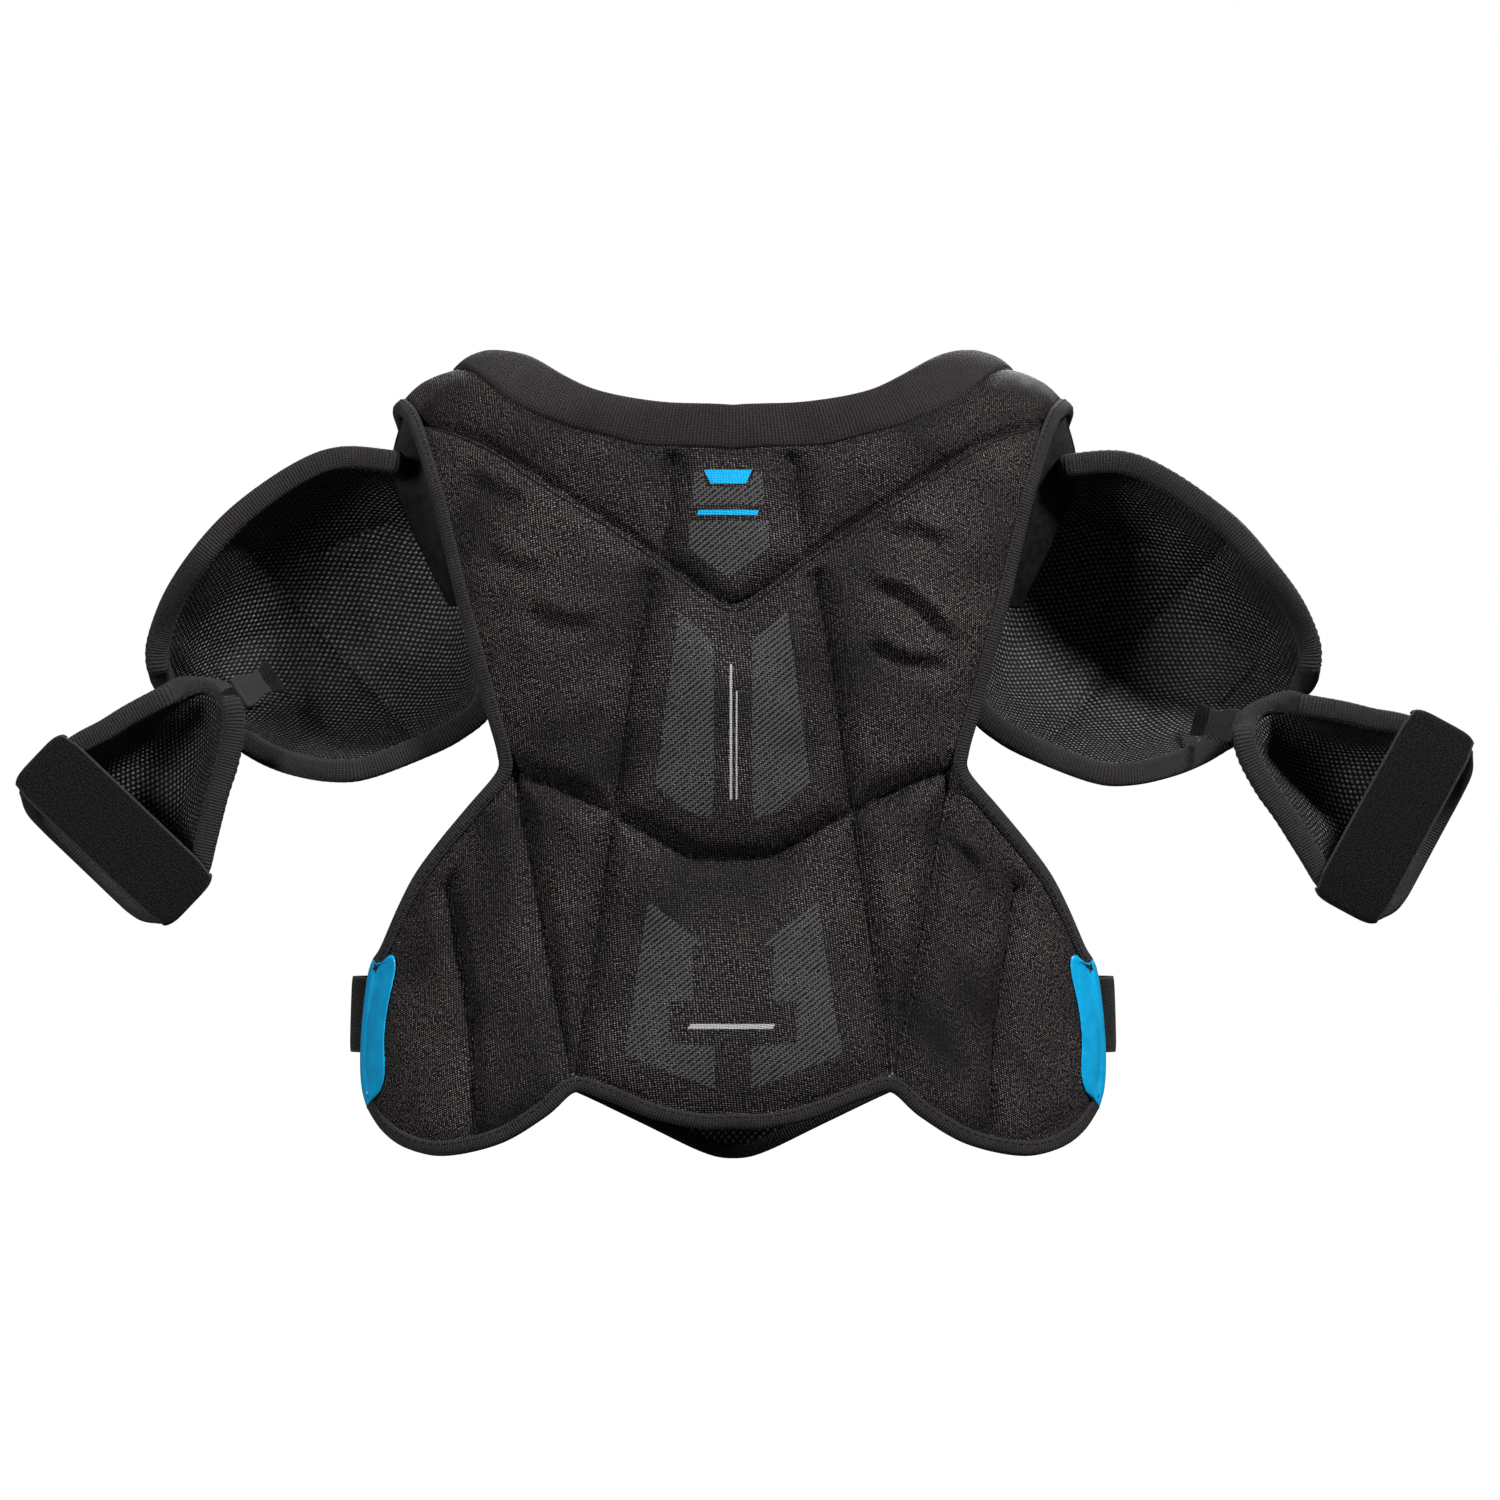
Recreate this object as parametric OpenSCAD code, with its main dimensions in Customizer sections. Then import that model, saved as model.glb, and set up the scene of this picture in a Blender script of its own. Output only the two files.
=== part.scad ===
// Ice hockey shoulder pads, in the place they take on the wearer.
// X points to the wearer's right, Y forwards and Z up. The origin is midway between the shoulders,
// on the line that the shoulder pads rest on. The back panel is on the -Y side, the chest panel on +Y.

/* [Torso form] */
// Half width of the form that the panels follow, at the lower wings
torso_half_w = 189; // [186:1:192]
// How far the form narrows at the waist
waist_in = 8; // [5:1:11]
// Depth from the shoulder line to the back panel
back_depth = 78; // [75:1:82]
// Extra depth over the shoulder blades
blade_swell = 12; // [9:1:15]
// Depth from the shoulder line to the chest panel
chest_depth = 80; // [77:1:84]
// Extra depth over the chest
chest_swell = 14; // [10:1:17]
// Squareness of the form's cross-section, 2 is an ellipse
squareness = 2.6; // [2.5:0.1:2.8]
// Height over which the shoulders round off
shoulder_round = 62; // [59:1:65]

/* [Panel layers] */
// Thickness of the cover fabric with its thin foam backing
cover_t = 2; // [1.6:0.1:2.4]
// Thickness of the mesh lining
liner_t = 1.5; // [1:0.1:2]
// Thickness of a hard plastic insert
plate_t = 1.5; // [1:0.1:2]
// Depth of the lining's inner face under the cover, between the seams
pad_t = 16.5; // [16:0.5:18]

/* [Arms] */
// Deepest point of the shoulder cap's lining, forward of the shoulder line
cap_bottom_y = 34; // [30:1:36]
// Rim of the shoulder cap, behind the shoulder line
cap_rim_y = -38; // [-40:1:-36]
// Roll of the right cap about the arm, so that its outside shows past its rim
right_cap_roll = 6; // [0:1:8]
// Rim of the upper-arm guard, behind the shoulder line
guard_rim_y = -46; // [-48:1:-44]
// Depth of the upper-arm guard's hollow
guard_depth = 50; // [46:1:52]
// How much further out the right guard hangs than the left one, in degrees
right_guard_turn = 18; // [0:1:20]

/* [Straps] */
// Width of the elastic straps
strap_w = 38; // [36:1:40]
// Thickness of the elastic straps
strap_t = 1.8; // [1.5:0.1:2]
// Height of the side straps' middle
side_strap_z = -323; // [-326:1:-320]

/* [Hidden] */

// Lengths over the form: from the spine to the side line, and from the ridge to the end of the rounding.
side_u = 230;
roll_len = 116;
// The shoulder ridge is a parabola over the neck.
ridge_top = 41.7;
ridge_fall = 0.00208;
// Where the back panel and the chest panel meet in front of the ridge, and the gap between them.
hinge_p = 51;
hinge_gap = 7;
// Space between layers, and from an edge to its binding.
gap = 0.3;
// Distance from an edge over which the panel reaches its full thickness.
taper = 16;
blue = [0.02, 0.62, 0.87];
black = [0.07, 0.065, 0.07];
grey = [0.16, 0.15, 0.16];
foam_white = [0.88, 0.88, 0.86];

// ---- Curves and grids of points ----

function unit(v) = v/max(norm(v), 1e-6);
function smooth(s) = let (c = max(0, min(1, s))) c*c*(3 - 2*c);
function bell(z, mid, spread) = exp(-pow((z - mid)/spread, 2));

// A Catmull-Rom curve through the points, at s from 0 to 1.
function spline(pts, s) =
    let (n = len(pts) - 1, k = min(n - 1, floor(s*n)), f = s*n - k,
         a = pts[max(0, k - 1)], b = pts[k], c = pts[k + 1], d = pts[min(n, k + 2)])
    0.5*(2*b + f*(c - a) + f*f*(2*a - 5*b + 4*c - d) + f*f*f*(3*b - a - 3*c + d));

// The lengths from the first point of a polyline to each of its points.
function lengths(p) =
    [for (i = 0, s = 0; i < len(p); s = s + (i + 1 < len(p) ? norm(p[i + 1] - p[i]) : 0), i = i + 1) s];

// n + 1 points, evenly spaced along the curve through pts.
function along(pts, n) =
    let (fine = [for (i = [0:6*len(pts)]) spline(pts, i/(6*len(pts)))], s = lengths(fine), last = len(s) - 1,
         columns = [for (c = [0:len(pts[0]) - 1]) [for (i = [0:last]) [s[i], fine[i][c]]]])
    [for (k = [0:n]) [for (column = columns) lookup(s[last]*k/n, column)]];

// Half an outline from the centre line outwards, made whole from -X to +X.
function whole(half) = concat([for (i = [len(half) - 1:-1:1]) [-half[i][0], half[i][1]]], half);
function mirrored(pts) = [for (q = pts) [-q[0], q[1]]];

// A grid of points between four edges. Top and bottom run towards +X, left and right run down.
function coons(top, right, bottom, left) =
    let (n = len(top) - 1, m = len(right) - 1)
    [for (j = [0:m]) [for (i = [0:n]) let (a = i/n, b = j/m)
        (1 - b)*top[i] + b*bottom[i] + (1 - a)*left[j] + a*right[j]
        - (1 - a)*((1 - b)*top[0] + b*bottom[0]) - a*((1 - b)*top[n] + b*bottom[n])]];

function patch(top, right, bottom, left, n, m) =
    coons(along(top, n), along(right, m), along(bottom, n), along(left, m));

function at(g, j, i) = g[max(0, min(len(g) - 1, j))][max(0, min(len(g[0]) - 1, i))];
function normal(g, j, i) =
    unit(cross(at(g, j, i + 1) - at(g, j, i - 1), at(g, j + 1, i) - at(g, j - 1, i)));
function rows(g) = len(g) - 1;
function columns(g) = len(g[0]) - 1;

// The grid moved along its normals, by a at its edges and by b away from them. full holds how far
// each point is on its way from the one to the other.
function shifted(g, a, b, full) =
    [for (j = [0:rows(g)]) [for (i = [0:columns(g)])
        g[j][i] + normal(g, j, i)*(a + (b - a)*(full == undef ? 1 : full[j][i]))]];

// The border of a grid as [row, column] pairs: down the right edge, back along the bottom, up the left.
function u_border(g) = concat(
    [for (j = [0:rows(g)]) [j, columns(g)]],
    [for (i = [columns(g) - 1:-1:0]) [rows(g), i]],
    [for (j = [rows(g) - 1:-1:0]) [j, 0]]);
function full_border(g) = concat(u_border(g), [for (i = [1:columns(g) - 1]) [0, i]]);

// ---- Solids from grids ----

// The closed solid between grids a and b, where b lies along a's normals.
module between(a, b) {
    m = rows(a);
    n = columns(a);
    w = n + 1;
    k = (m + 1)*w;
    rim = concat([for (i = [0:n - 1]) i], [for (j = [0:m - 1]) j*w + n],
                 [for (i = [n:-1:1]) m*w + i], [for (j = [m:-1:1]) j*w]);
    polyhedron(
        concat([for (r = a) each r], [for (r = b) each r]),
        concat(
            [for (j = [0:m - 1], i = [0:n - 1]) let (q = j*w + i)
                each [[q, q + 1, q + w + 1], [q, q + w + 1, q + w]]],
            [for (j = [0:m - 1], i = [0:n - 1]) let (q = k + j*w + i)
                each [[q, q + w + 1, q + 1], [q, q + w, q + w + 1]]],
            [for (e = [0:len(rim) - 1]) let (p = rim[e], q = rim[(e + 1)%len(rim)])
                each [[q, p, k + p], [q, k + p, k + q]]]));
}

// A layer of a panel, from depth a to depth b under its outside. face is 1 where the grid's normals
// point inwards and -1 where they point outwards. edge holds both depths at the panel's edge.
module layer(g, face, a, b, full = undef, edge = undef) {
    ea = edge == undef ? a : edge[0];
    eb = edge == undef ? b : edge[1];
    if (face > 0) between(shifted(g, ea, a, full), shifted(g, eb, b, full));
    else between(shifted(g, -eb, -b, full), shifted(g, -ea, -a, full));
}

// A solid through sections of the same number of points.
module through(sections, closed) {
    k = len(sections);
    s = len(sections[0]);
    spans = closed ? k : k - 1;
    polyhedron(
        [for (c = sections) each c],
        concat(
            [for (i = [0:spans - 1], q = [0:s - 1])
                let (a = i*s + q, b = i*s + (q + 1)%s, c = ((i + 1)%k)*s + q, d = ((i + 1)%k)*s + (q + 1)%s)
                each [[a, b, d], [a, d, c]]],
            closed ? [] : [[for (q = [s - 1:-1:0]) q], [for (q = [0:s - 1]) (k - 1)*s + q]]));
}

// Where a binding runs along an edge: [point, way out past the edge, way in through the layers].
function edge_frames(g, face, border, closed = false) =
    let (k = len(border), spots = [for (b = border) g[b[0]][b[1]]])
    [for (e = [0:k - 1])
        let (b = border[e], n = normal(g, b[0], b[1])*face,
             next = spots[closed ? (e + 1)%k : min(k - 1, e + 1)],
             last = spots[closed ? (e + k - 1)%k : max(0, e - 1)],
             inside = g[max(1, min(rows(g) - 1, b[0]))][max(1, min(columns(g) - 1, b[1]))],
             side = unit(cross(n, next - last)))
        [spots[e], side*(side*(spots[e] - inside) < 0 ? -1 : 1), n]];

// A binding tape swept along an edge. section holds [way out, way in] points.
module edging(frames, section, face, closed) {
    way = face > 0 ? [0:len(section) - 1] : [len(section) - 1:-1:0];
    through([for (f = frames) [for (k = way) f[0] + f[1]*section[k][0] + f[2]*section[k][1]]], closed);
}

// A binding tape's section round an edge whose layers run from depth a to depth b.
function tape(a, b, reach) = [
    [gap, a - 1], [reach*0.6, a - 1], [reach, a + 0.8], [reach, b - 0.8], [reach*0.6, b + 1], [gap, b + 1]];

// ---- The torso form ----

function half_w(z) = torso_half_w - waist_in*bell(z, -190, 90);
function depth_back(z) = back_depth + blade_swell*bell(z, -130, 95);
function depth_front(z) = chest_depth + chest_swell*bell(z, -150, 90);
function ridge_z(x) = ridge_top - ridge_fall*x*x;
function round_off(t) = sign(cos(t))*pow(max(0, 1 - pow(abs(sin(t)), squareness)), 1/squareness);

// A point of the form. u runs round the body from the centre line, and p down from the shoulder
// ridge: positive down the back, negative down the chest.
function form(q) =
    let (t = 90*q[0]/side_u, p = abs(q[1]), phi = min(90, 90*p/roll_len),
         z = ridge_z(torso_half_w*sin(t)) - shoulder_round*(1 - cos(phi)) - max(0, p - roll_len),
         d = q[1] >= 0 ? -depth_back(z) : depth_front(z))
    [half_w(z)*sin(t), d*round_off(t)*sin(phi), z];

// Where the form is seen at x and z from straight behind (dir 1) or from straight ahead (dir -1).
function flat(q, dir) =
    let (w = half_w(q[1]), over = max(0, abs(q[0]) - w),
         t = asin(min(1, abs(q[0])/w)) + 90*over/side_u,
         h = max(0, ridge_z(torso_half_w*sin(t)) - q[1]),
         p = h < shoulder_round ? roll_len*acos(1 - h/shoulder_round)/90 : roll_len + h - shoulder_round)
    [sign(q[0])*t*side_u/90, dir*p];
function flats(pts, dir) = [for (q = pts) flat(q, dir)];
function formed(g) = [for (r = g) [for (q = r) form(q)]];

// How far each point of a flat grid is on its way to the panel's full thickness.
function fullness(g) =
    let (edge = [for (b = full_border(g)) g[b[0]][b[1]]])
    [for (r = g) [for (q = r) smooth(min([for (e = edge) norm(e - q)])/taper)]];

// A four-sided patch of the form between corners given as seen from behind or ahead.
function four_sided(c, dir, n, m) =
    formed(patch(flats([c[0], c[1]], dir), flats([c[1], c[2]], dir),
                 flats([c[3], c[2]], dir), flats([c[0], c[3]], dir), n, m));

// ---- Outlines, as seen from straight behind or ahead, from the centre line outwards ----

// Neck edge and lower edge of the collar band on the back, as far as the ridge.
back_neck = [[0, -17.5], [33.5, -16], [63.5, -11], [83.5, -2.5], [103.5, 8.5]];
back_neck_low = [[0, -40], [38, -38.5], [57, -35], [86, -27], [115.5, -12]];
// The same two edges over the ridge, in the form's own lengths.
ridge_neck = [[108, 0], [103, -24], [97, -hinge_p + hinge_gap/2]];
ridge_neck_low = [[122, 0], [119, -24], [114, -hinge_p + hinge_gap/2]];
// Armhole, waist and wing of the back panel, from the shoulder tip down.
back_side = [[160, -24], [151, -50], [143, -80], [136, -110], [128, -140], [120, -170],
             [114, -192], [115, -203], [131, -222], [146, -240], [157, -255], [165, -270], [174, -290],
             [180, -302], [184, -335], [184, -355], [181, -368]];
back_hem = [[0, -375], [17, -375], [40, -370], [63, -361], [80, -357], [96, -370], [118, -383],
            [144, -389], [162, -386], [174, -378], [181, -368]];
// The seam between the yoke and the panel below it.
yoke_seam = [[0, -116.5], [13, -110.5], [39, -91], [61, -76], [86, -60], [108, -46], [130, -33], [160, -24]];
// The yoke's armhole edge over the shoulder, in the form's own lengths, and its end on the hinge line.
yoke_u = 157;
yoke_side = [[158, 14], [161, -18], [yoke_u, -hinge_p + hinge_gap/2]];
seam_gap = 1.4;
// The collar band ends this far down its own width, so that it clears the panel's edge.
collar_share = 0.93;

chest_neck = [[0, -72], [30, -66], [60, -48], [83, -26], [100, -8]];
chest_neck_low = [[0, -97], [36, -89], [68, -68], [95, -43], [112, -24]];
chest_side = [[147, -55], [130, -85], [115, -118], [107, -155], [107, -195], [115, -235], [127, -270],
              [133, -305], [133, -328], [129, -341]];
chest_hem = [[0, -393], [17, -389], [48, -374], [80, -359], [106, -349], [129, -341]];

function tail(list) = [for (i = [1:len(list) - 1]) list[i]];

back_flat =
    let (seam = [for (q = flats(yoke_seam, 1)) q + [0, seam_gap]], side = flats(back_side, 1))
    patch(whole(seam), concat([seam[len(seam) - 1]], tail(side)), whole(flats(back_hem, 1)),
          mirrored(concat([seam[len(seam) - 1]], tail(side))), 24, 16);

// The yoke runs from hinge line to hinge line round the neck, as rows beside the neck's edge.
yoke_seam_columns = 12;
yoke_side_columns = 4;
yoke_n = yoke_seam_columns + yoke_side_columns;
rear_neck = along(concat(flats(back_neck, 1), ridge_neck), yoke_n);
rear_neck_low = along(concat(flats(back_neck_low, 1), ridge_neck_low), yoke_n);
yoke_flat =
    let (seam = flats(yoke_seam, 1),
         low = concat(along(seam, yoke_seam_columns),
                      tail(along(concat([seam[len(seam) - 1]], yoke_side), yoke_side_columns))),
         hinge = [for (k = [0:4]) rear_neck_low[yoke_n] + (low[yoke_n] - rear_neck_low[yoke_n])*k/4])
    coons(whole(rear_neck_low), hinge, whole(low), mirrored(hinge));

chest_hinge = -hinge_p - hinge_gap/2;
chest_neck_columns = 8;
front_neck = along(concat(flats(chest_neck, -1), [[97, chest_hinge]]), chest_neck_columns);
front_neck_low = along(concat(flats(chest_neck_low, -1), [[115, chest_hinge]]), chest_neck_columns);
chest_flat =
    let (top = concat(front_neck_low, [for (k = [1:2]) [115 + (yoke_u - 115)*k/2, chest_hinge]]),
         side = along(concat([[yoke_u, chest_hinge]], flats(chest_side, -1)), 14),
         hem = along(whole(flats(chest_hem, -1)), 2*len(top) - 2))
    coons(whole(top), side, hem, mirrored(side));

// A collar band's grid: three rows between its neck edge and the panel that it is sewn to.
function collar_flat(neck, low) =
    [for (s = [0, 0.5, collar_share]) whole([for (k = [0:len(neck) - 1]) neck[k] + s*(low[k] - neck[k])])];

// ---- Back panel ----

edge_depth = [cover_t + gap, cover_t + gap + liner_t];

module back_cover() { color(black) layer(formed(back_flat), 1, 0, cover_t); }
module yoke_cover() { color(black) layer(formed(yoke_flat), 1, 0, cover_t); }
module back_liner() {
    color(grey) layer(formed(back_flat), 1, pad_t - liner_t, pad_t, fullness(back_flat), edge_depth);
}
module yoke_liner() {
    color(grey) layer(formed(yoke_flat), 1, pad_t - liner_t, pad_t, fullness(yoke_flat), edge_depth);
}

// One tape runs from hinge line to hinge line: down the armhole, along the hem and up again.
module back_binding() {
    yoke = formed(yoke_flat);
    right = [for (i = [columns(yoke):-1:columns(yoke) - yoke_side_columns + 1]) [rows(yoke), i]];
    left = [for (i = [yoke_side_columns - 1:-1:0]) [rows(yoke), i]];
    frames = concat(edge_frames(yoke, 1, right), edge_frames(formed(back_flat), 1, u_border(back_flat)),
                    edge_frames(yoke, 1, left));
    color(grey) edging(frames, tape(0, edge_depth[1], 4), 1, false);
}

// Foam and plastic inside the panels, between the sewn channels.
foam_a = 6.6;
foam_b = 12.6;
plate_a = 3.4;
neck_block = [[-30, -58], [30, -58], [14, -88], [-14, -88]];
spine_block = [[-26, -136], [26, -136], [44, -216], [-44, -216]];
lumbar_block = [[-44, -254], [44, -254], [60, -336], [-60, -336]];
blade_block = [[56, -106], [112, -80], [92, -178], [62, -196]];
wing_block = [[114, -238], [134, -252], [158, -350], [112, -350]];

module neck_foam() { color(foam_white) layer(four_sided(neck_block, 1, 4, 3), 1, foam_a, foam_b); }
module spine_foam() { color(foam_white) layer(four_sided(spine_block, 1, 5, 5), 1, foam_a, foam_b); }
module lumbar_foam() { color(foam_white) layer(four_sided(lumbar_block, 1, 6, 4), 1, foam_a, foam_b); }
module spine_plate() { color(foam_white) layer(four_sided(spine_block, 1, 5, 5), 1, plate_a, plate_a + plate_t); }
module blade_foam() { color(foam_white) layer(four_sided(blade_block, 1, 4, 6), 1, foam_a, foam_b); }
module wing_foam() { color(foam_white) layer(four_sided(wing_block, 1, 4, 5), 1, foam_a, foam_b); }

module yoke_foam() {
    g = formed(patch([[134, -28], [147, -28]], [[147, -28], [149, -4], [140, 30]],
                     [[128, 30], [140, 30]], [[134, -28], [133, -4], [128, 30]], 2, 6));
    color(foam_white) layer(g, 1, 4.5, 8.5);
}

// The blue film on the wing's outside, with round corners towards the spine.
module wing_patch() {
    inner = flats([[174, -298], [172.5, -300], [171, -306], [172, -325], [173, -345], [174.5, -362], [177, -368]], 1);
    outer = flats([[175, -298], [178, -305], [180.5, -318], [181.5, -335], [181.3, -355], [178.5, -368]], 1);
    g = formed(patch([inner[0], outer[0]], outer, [inner[len(inner) - 1], outer[len(outer) - 1]], inner, 4, 9));
    color(blue) layer(g, 1, -1.3, -0.5);
}

// The sewn ends of the side straps, under the wings.
module strap_anchor_pad() {
    z = [side_strap_z + strap_w/2, side_strap_z - strap_w/2];
    g = four_sided([[160, z[0]], [178, z[0]], [178, z[1]], [160, z[1]]], 1, 3, 3);
    color(grey) layer(g, 1, pad_t + 1, pad_t + 1 + strap_t);
}

// ---- Collar ----

collar_t = 4;

module rear_collar_band() {
    color(grey) layer(formed(collar_flat(rear_neck, rear_neck_low)), 1, -0.5, collar_t - 0.5);
}
module front_collar_band() {
    color(grey) layer(formed(collar_flat(front_neck, front_neck_low)), -1, -0.5, collar_t - 0.5);
}

// ---- Chest panel ----

module chest_cover() {
    color(black) layer(formed(chest_flat), -1, 0, cover_t);
}

module chest_liner() {
    color(grey) layer(formed(chest_flat), -1, pad_t - liner_t, pad_t, fullness(chest_flat), edge_depth);
}

module chest_binding() {
    color(grey) edging(edge_frames(formed(chest_flat), -1, u_border(chest_flat)),
                       tape(0, edge_depth[1], 4), -1, false);
}

sternum_block = [[-36, -122], [36, -122], [30, -226], [-30, -226]];
chest_block = [[58, -104], [104, -92], [84, -180], [58, -198]];
belly_block = [[-62, -252], [62, -252], [52, -352], [-52, -352]];

module sternum_plate() {
    color(foam_white) layer(four_sided(sternum_block, -1, 5, 5), -1, plate_a, plate_a + plate_t);
}
module sternum_foam() { color(foam_white) layer(four_sided(sternum_block, -1, 5, 5), -1, foam_a, foam_b); }
module chest_foam() { color(foam_white) layer(four_sided(chest_block, -1, 4, 6), -1, foam_a, foam_b); }
module belly_foam() { color(foam_white) layer(four_sided(belly_block, -1, 6, 5), -1, foam_a, foam_b); }

// The loop fabric that the side straps press onto.
module loop_patch() {
    z = [side_strap_z + strap_w/2 - 2, side_strap_z - strap_w/2 + 2];
    g = four_sided([[78, z[0]], [118, z[0]], [118, z[1]], [78, z[1]]], -1, 4, 2);
    color(grey) layer(g, -1, -1.1, -0.3);
}

// ---- Side straps ----

// Where the straps begin under the wing and end on the chest, in degrees round the form.
side_strap_start = 79;
side_strap_end = 139;
side_tab_end = 153;
// How far the strap lies inside the wing's outer face at its sewn end, and outside the chest's.
strap_sewn_depth = 5.8;
strap_clearance = 3.4;

module side_strap_part(from, to, n, sewn) {
    g = [for (r = [1, 0, -1]) [for (k = [0:n])
        let (z = side_strap_z + r*strap_w/2, t = from + (to - from)*k/n)
        [half_w(z)*sin(t), -(t <= 90 ? depth_back(z) : depth_front(z))*round_off(t), z]]];
    out = [for (r = g) [for (k = [0:n]) sewn ? smooth(k/3) : 1]];
    layer(g, 1, -strap_clearance - strap_t, -strap_clearance, out, [strap_sewn_depth, strap_sewn_depth + strap_t]);
}
module side_strap() { color(grey) side_strap_part(side_strap_start, side_strap_end, 12, true); }
module side_strap_tab() { color(blue) side_strap_part(side_strap_end + 0.3, side_tab_end, 4, false); }

// ---- Shoulder cap: a trough along the arm, open towards the back ----

cap_layers = 7.5;
cap_outer = [[170, -49], [196, -47], [217, -55], [244, -74], [263, -94], [278, -116], [286, -137], [286, -148]];
cap_inner = [[122, -146], [128, -166], [139, -176], [154, -184], [184, -195.5], [201, -197], [219, -194],
             [233, -189], [245, -182]];
cap_shoulder_end = [[170, -49], [152, -68], [138, -92], [128, -118], [122, -146]];
cap_elbow_end = [[286, -148], [281, -163], [266, -174], [245, -182]];

// The height of a trough's lining across it: s runs from -1 to 1 between its long edges.
function trough(s, rim, bottom) = rim + (bottom - rim)*pow(max(0, 1 - s*s), 0.55);

// Trough grids run across the arm in columns, towards +X, and down the arm in rows.
function trough_grid(outline, n, rim, bottom) =
    [for (j = [0:rows(outline)]) let (v = j/rows(outline))
        [for (i = [0:n]) let (s = sin(180*i/n - 90), a = (s + 1)/2*columns(outline), k = min(columns(outline) - 1, floor(a)),
                              q = outline[j][k] + (a - k)*(outline[j][k + 1] - outline[j][k]))
            [q[0], trough(s, rim(v), bottom(v)), q[1]]]];

cap_outline = patch([for (i = [len(cap_shoulder_end) - 1:-1:0]) cap_shoulder_end[i]], cap_outer,
                    [for (i = [len(cap_elbow_end) - 1:-1:0]) cap_elbow_end[i]], cap_inner, 12, 9);
cap_grid = trough_grid(cap_outline, 12,
    function(v) cap_rim_y + 6*smooth(1 - v/0.3) + 40*smooth((v - 0.6)/0.4),
    function(v) cap_bottom_y - 14*smooth(1 - v/0.35) - 10*smooth((v - 0.5)/0.5));

// The cap's lining faces the arm; the other layers lie outside it, in front of the arm.
module cap_liner() { color(grey) layer(cap_grid, 1, 0, 2.9); }
module cap_plate() { color(foam_white) layer(cap_grid, 1, 3.2, 3.2 + plate_t); }
module cap_cover() { color(black) layer(cap_grid, 1, 5, cap_layers); }
module cap_binding() {
    color(grey) edging(edge_frames(cap_grid, 1, full_border(cap_grid), true), tape(0, cap_layers, 4.2), 1, true);
}

// The reinforcement that the elastic link is sewn to, inside the cap.
module link_patch() {
    near = [for (j = [6, 7]) [for (i = [4, 5, 6]) cap_grid[j][i]]];
    color(grey) layer(near, 1, -1.6, -0.4);
}

// The flap that hangs the cap from the shoulder, under the armhole's edge.
flap_line = [[149, -31], [155, -42], [160, -58], [164, -74], [170, -90]];
module shoulder_flap() {
    g = [for (q = flap_line) [for (y = [-6, -17, -28]) [q[0], y, q[1]]]];
    color(black) layer(g, -1, 0, 2.2);
}

// ---- Upper-arm guard: a smaller trough under the cap, with an elastic strap across it ----

guard_layers = 7;
guard_outer = [[283, -166], [300, -175], [313, -183], [326, -190], [344, -203], [349, -212]];
guard_inner = [[254, -167], [253, -178], [256, -195], [261, -211], [267, -235], [271, -250], [280, -262], [289, -269]];
guard_top = [[254, -167], [259, -160], [266, -158], [274, -160], [283, -166]];
guard_low = [[289, -269], [300, -268], [310, -261], [330, -242], [346, -224], [349, -212]];
guard_outline = patch(guard_top, guard_outer, guard_low, guard_inner, 10, 8);
guard_grid = trough_grid(guard_outline, 10,
    function(v) guard_rim_y,
    function(v) guard_rim_y + guard_depth*(0.5 + 0.5*smooth(v/0.5)));

module guard_liner() { color(grey) layer(guard_grid, 1, 0, 2.4); }
module guard_plate() { color(foam_white) layer(guard_grid, 1, 2.7, 2.7 + plate_t); }
module guard_cover() { color(black) layer(guard_grid, 1, 4.5, guard_layers); }
module guard_binding() {
    color(grey) edging(edge_frames(guard_grid, 1, full_border(guard_grid), true), tape(0, guard_layers, 4), 1, true);
}

// The strap's own frame: it starts at the middle of its sewn end and runs across the guard.
strap_from = [276, -262.5];
strap_angle = 43.5;
module in_strap_frame() {
    translate([strap_from[0], 0, strap_from[1]]) rotate([0, -strap_angle, 0]) children();
}
// A band whose line is given as [along, y] points, strap_w wide.
module band(line, t) {
    k = len(line);
    out = [for (i = [0:k - 1])
        let (d = unit(line[min(k - 1, i + 1)] - line[max(0, i - 1)])) line[i] + t*[-d[1], d[0]]];
    translate([0, 0, -strap_w/2]) linear_extrude(strap_w) polygon(concat(line, [for (i = [k - 1:-1:0]) out[i]]));
}
strap_in = -7;
strap_out = 101;
strap_top_y = guard_rim_y - 7.4;
strap_half_line = [[0, guard_rim_y + 2], [0, guard_rim_y - 3], [1.5, strap_top_y + 1.2], [6, strap_top_y],
                   [26, strap_top_y - 2.4]];
strap_line = concat([for (q = strap_half_line) [strap_in + q[0], q[1]]],
                    [for (k = [4:-1:0]) [strap_out - strap_half_line[k][0], strap_half_line[k][1]]]);
tab_line = [[strap_out, guard_rim_y + 2.5], [strap_out, guard_rim_y + 12], [strap_out - 1, guard_rim_y + 26]];
anchor_line = [[strap_in + 0.8, guard_rim_y + 20], [strap_in, guard_rim_y + 10], [strap_in, guard_rim_y + 2.5]];

module arm_strap() { color(grey) in_strap_frame() band(strap_line, strap_t); }
module arm_strap_tab() { color(black) in_strap_frame() band(tab_line, strap_t); }
module arm_strap_anchor() { color(grey) in_strap_frame() band(anchor_line, strap_t); }

// The elastic link between the cap's lining and the guard's upper inner corner.
link_from = [231, -2, -153];
link_to = [246, -42, -161];
link_side = [8, 0, 12];
module elastic_link() {
    g = [for (k = [0:3]) [for (i = [-0.5, 0, 0.5]) link_from + (link_to - link_from)*k/3 + link_side*i]];
    color(grey) layer(g, 1, 0, 1.6);
}

// ---- Placing the arms ----

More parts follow.
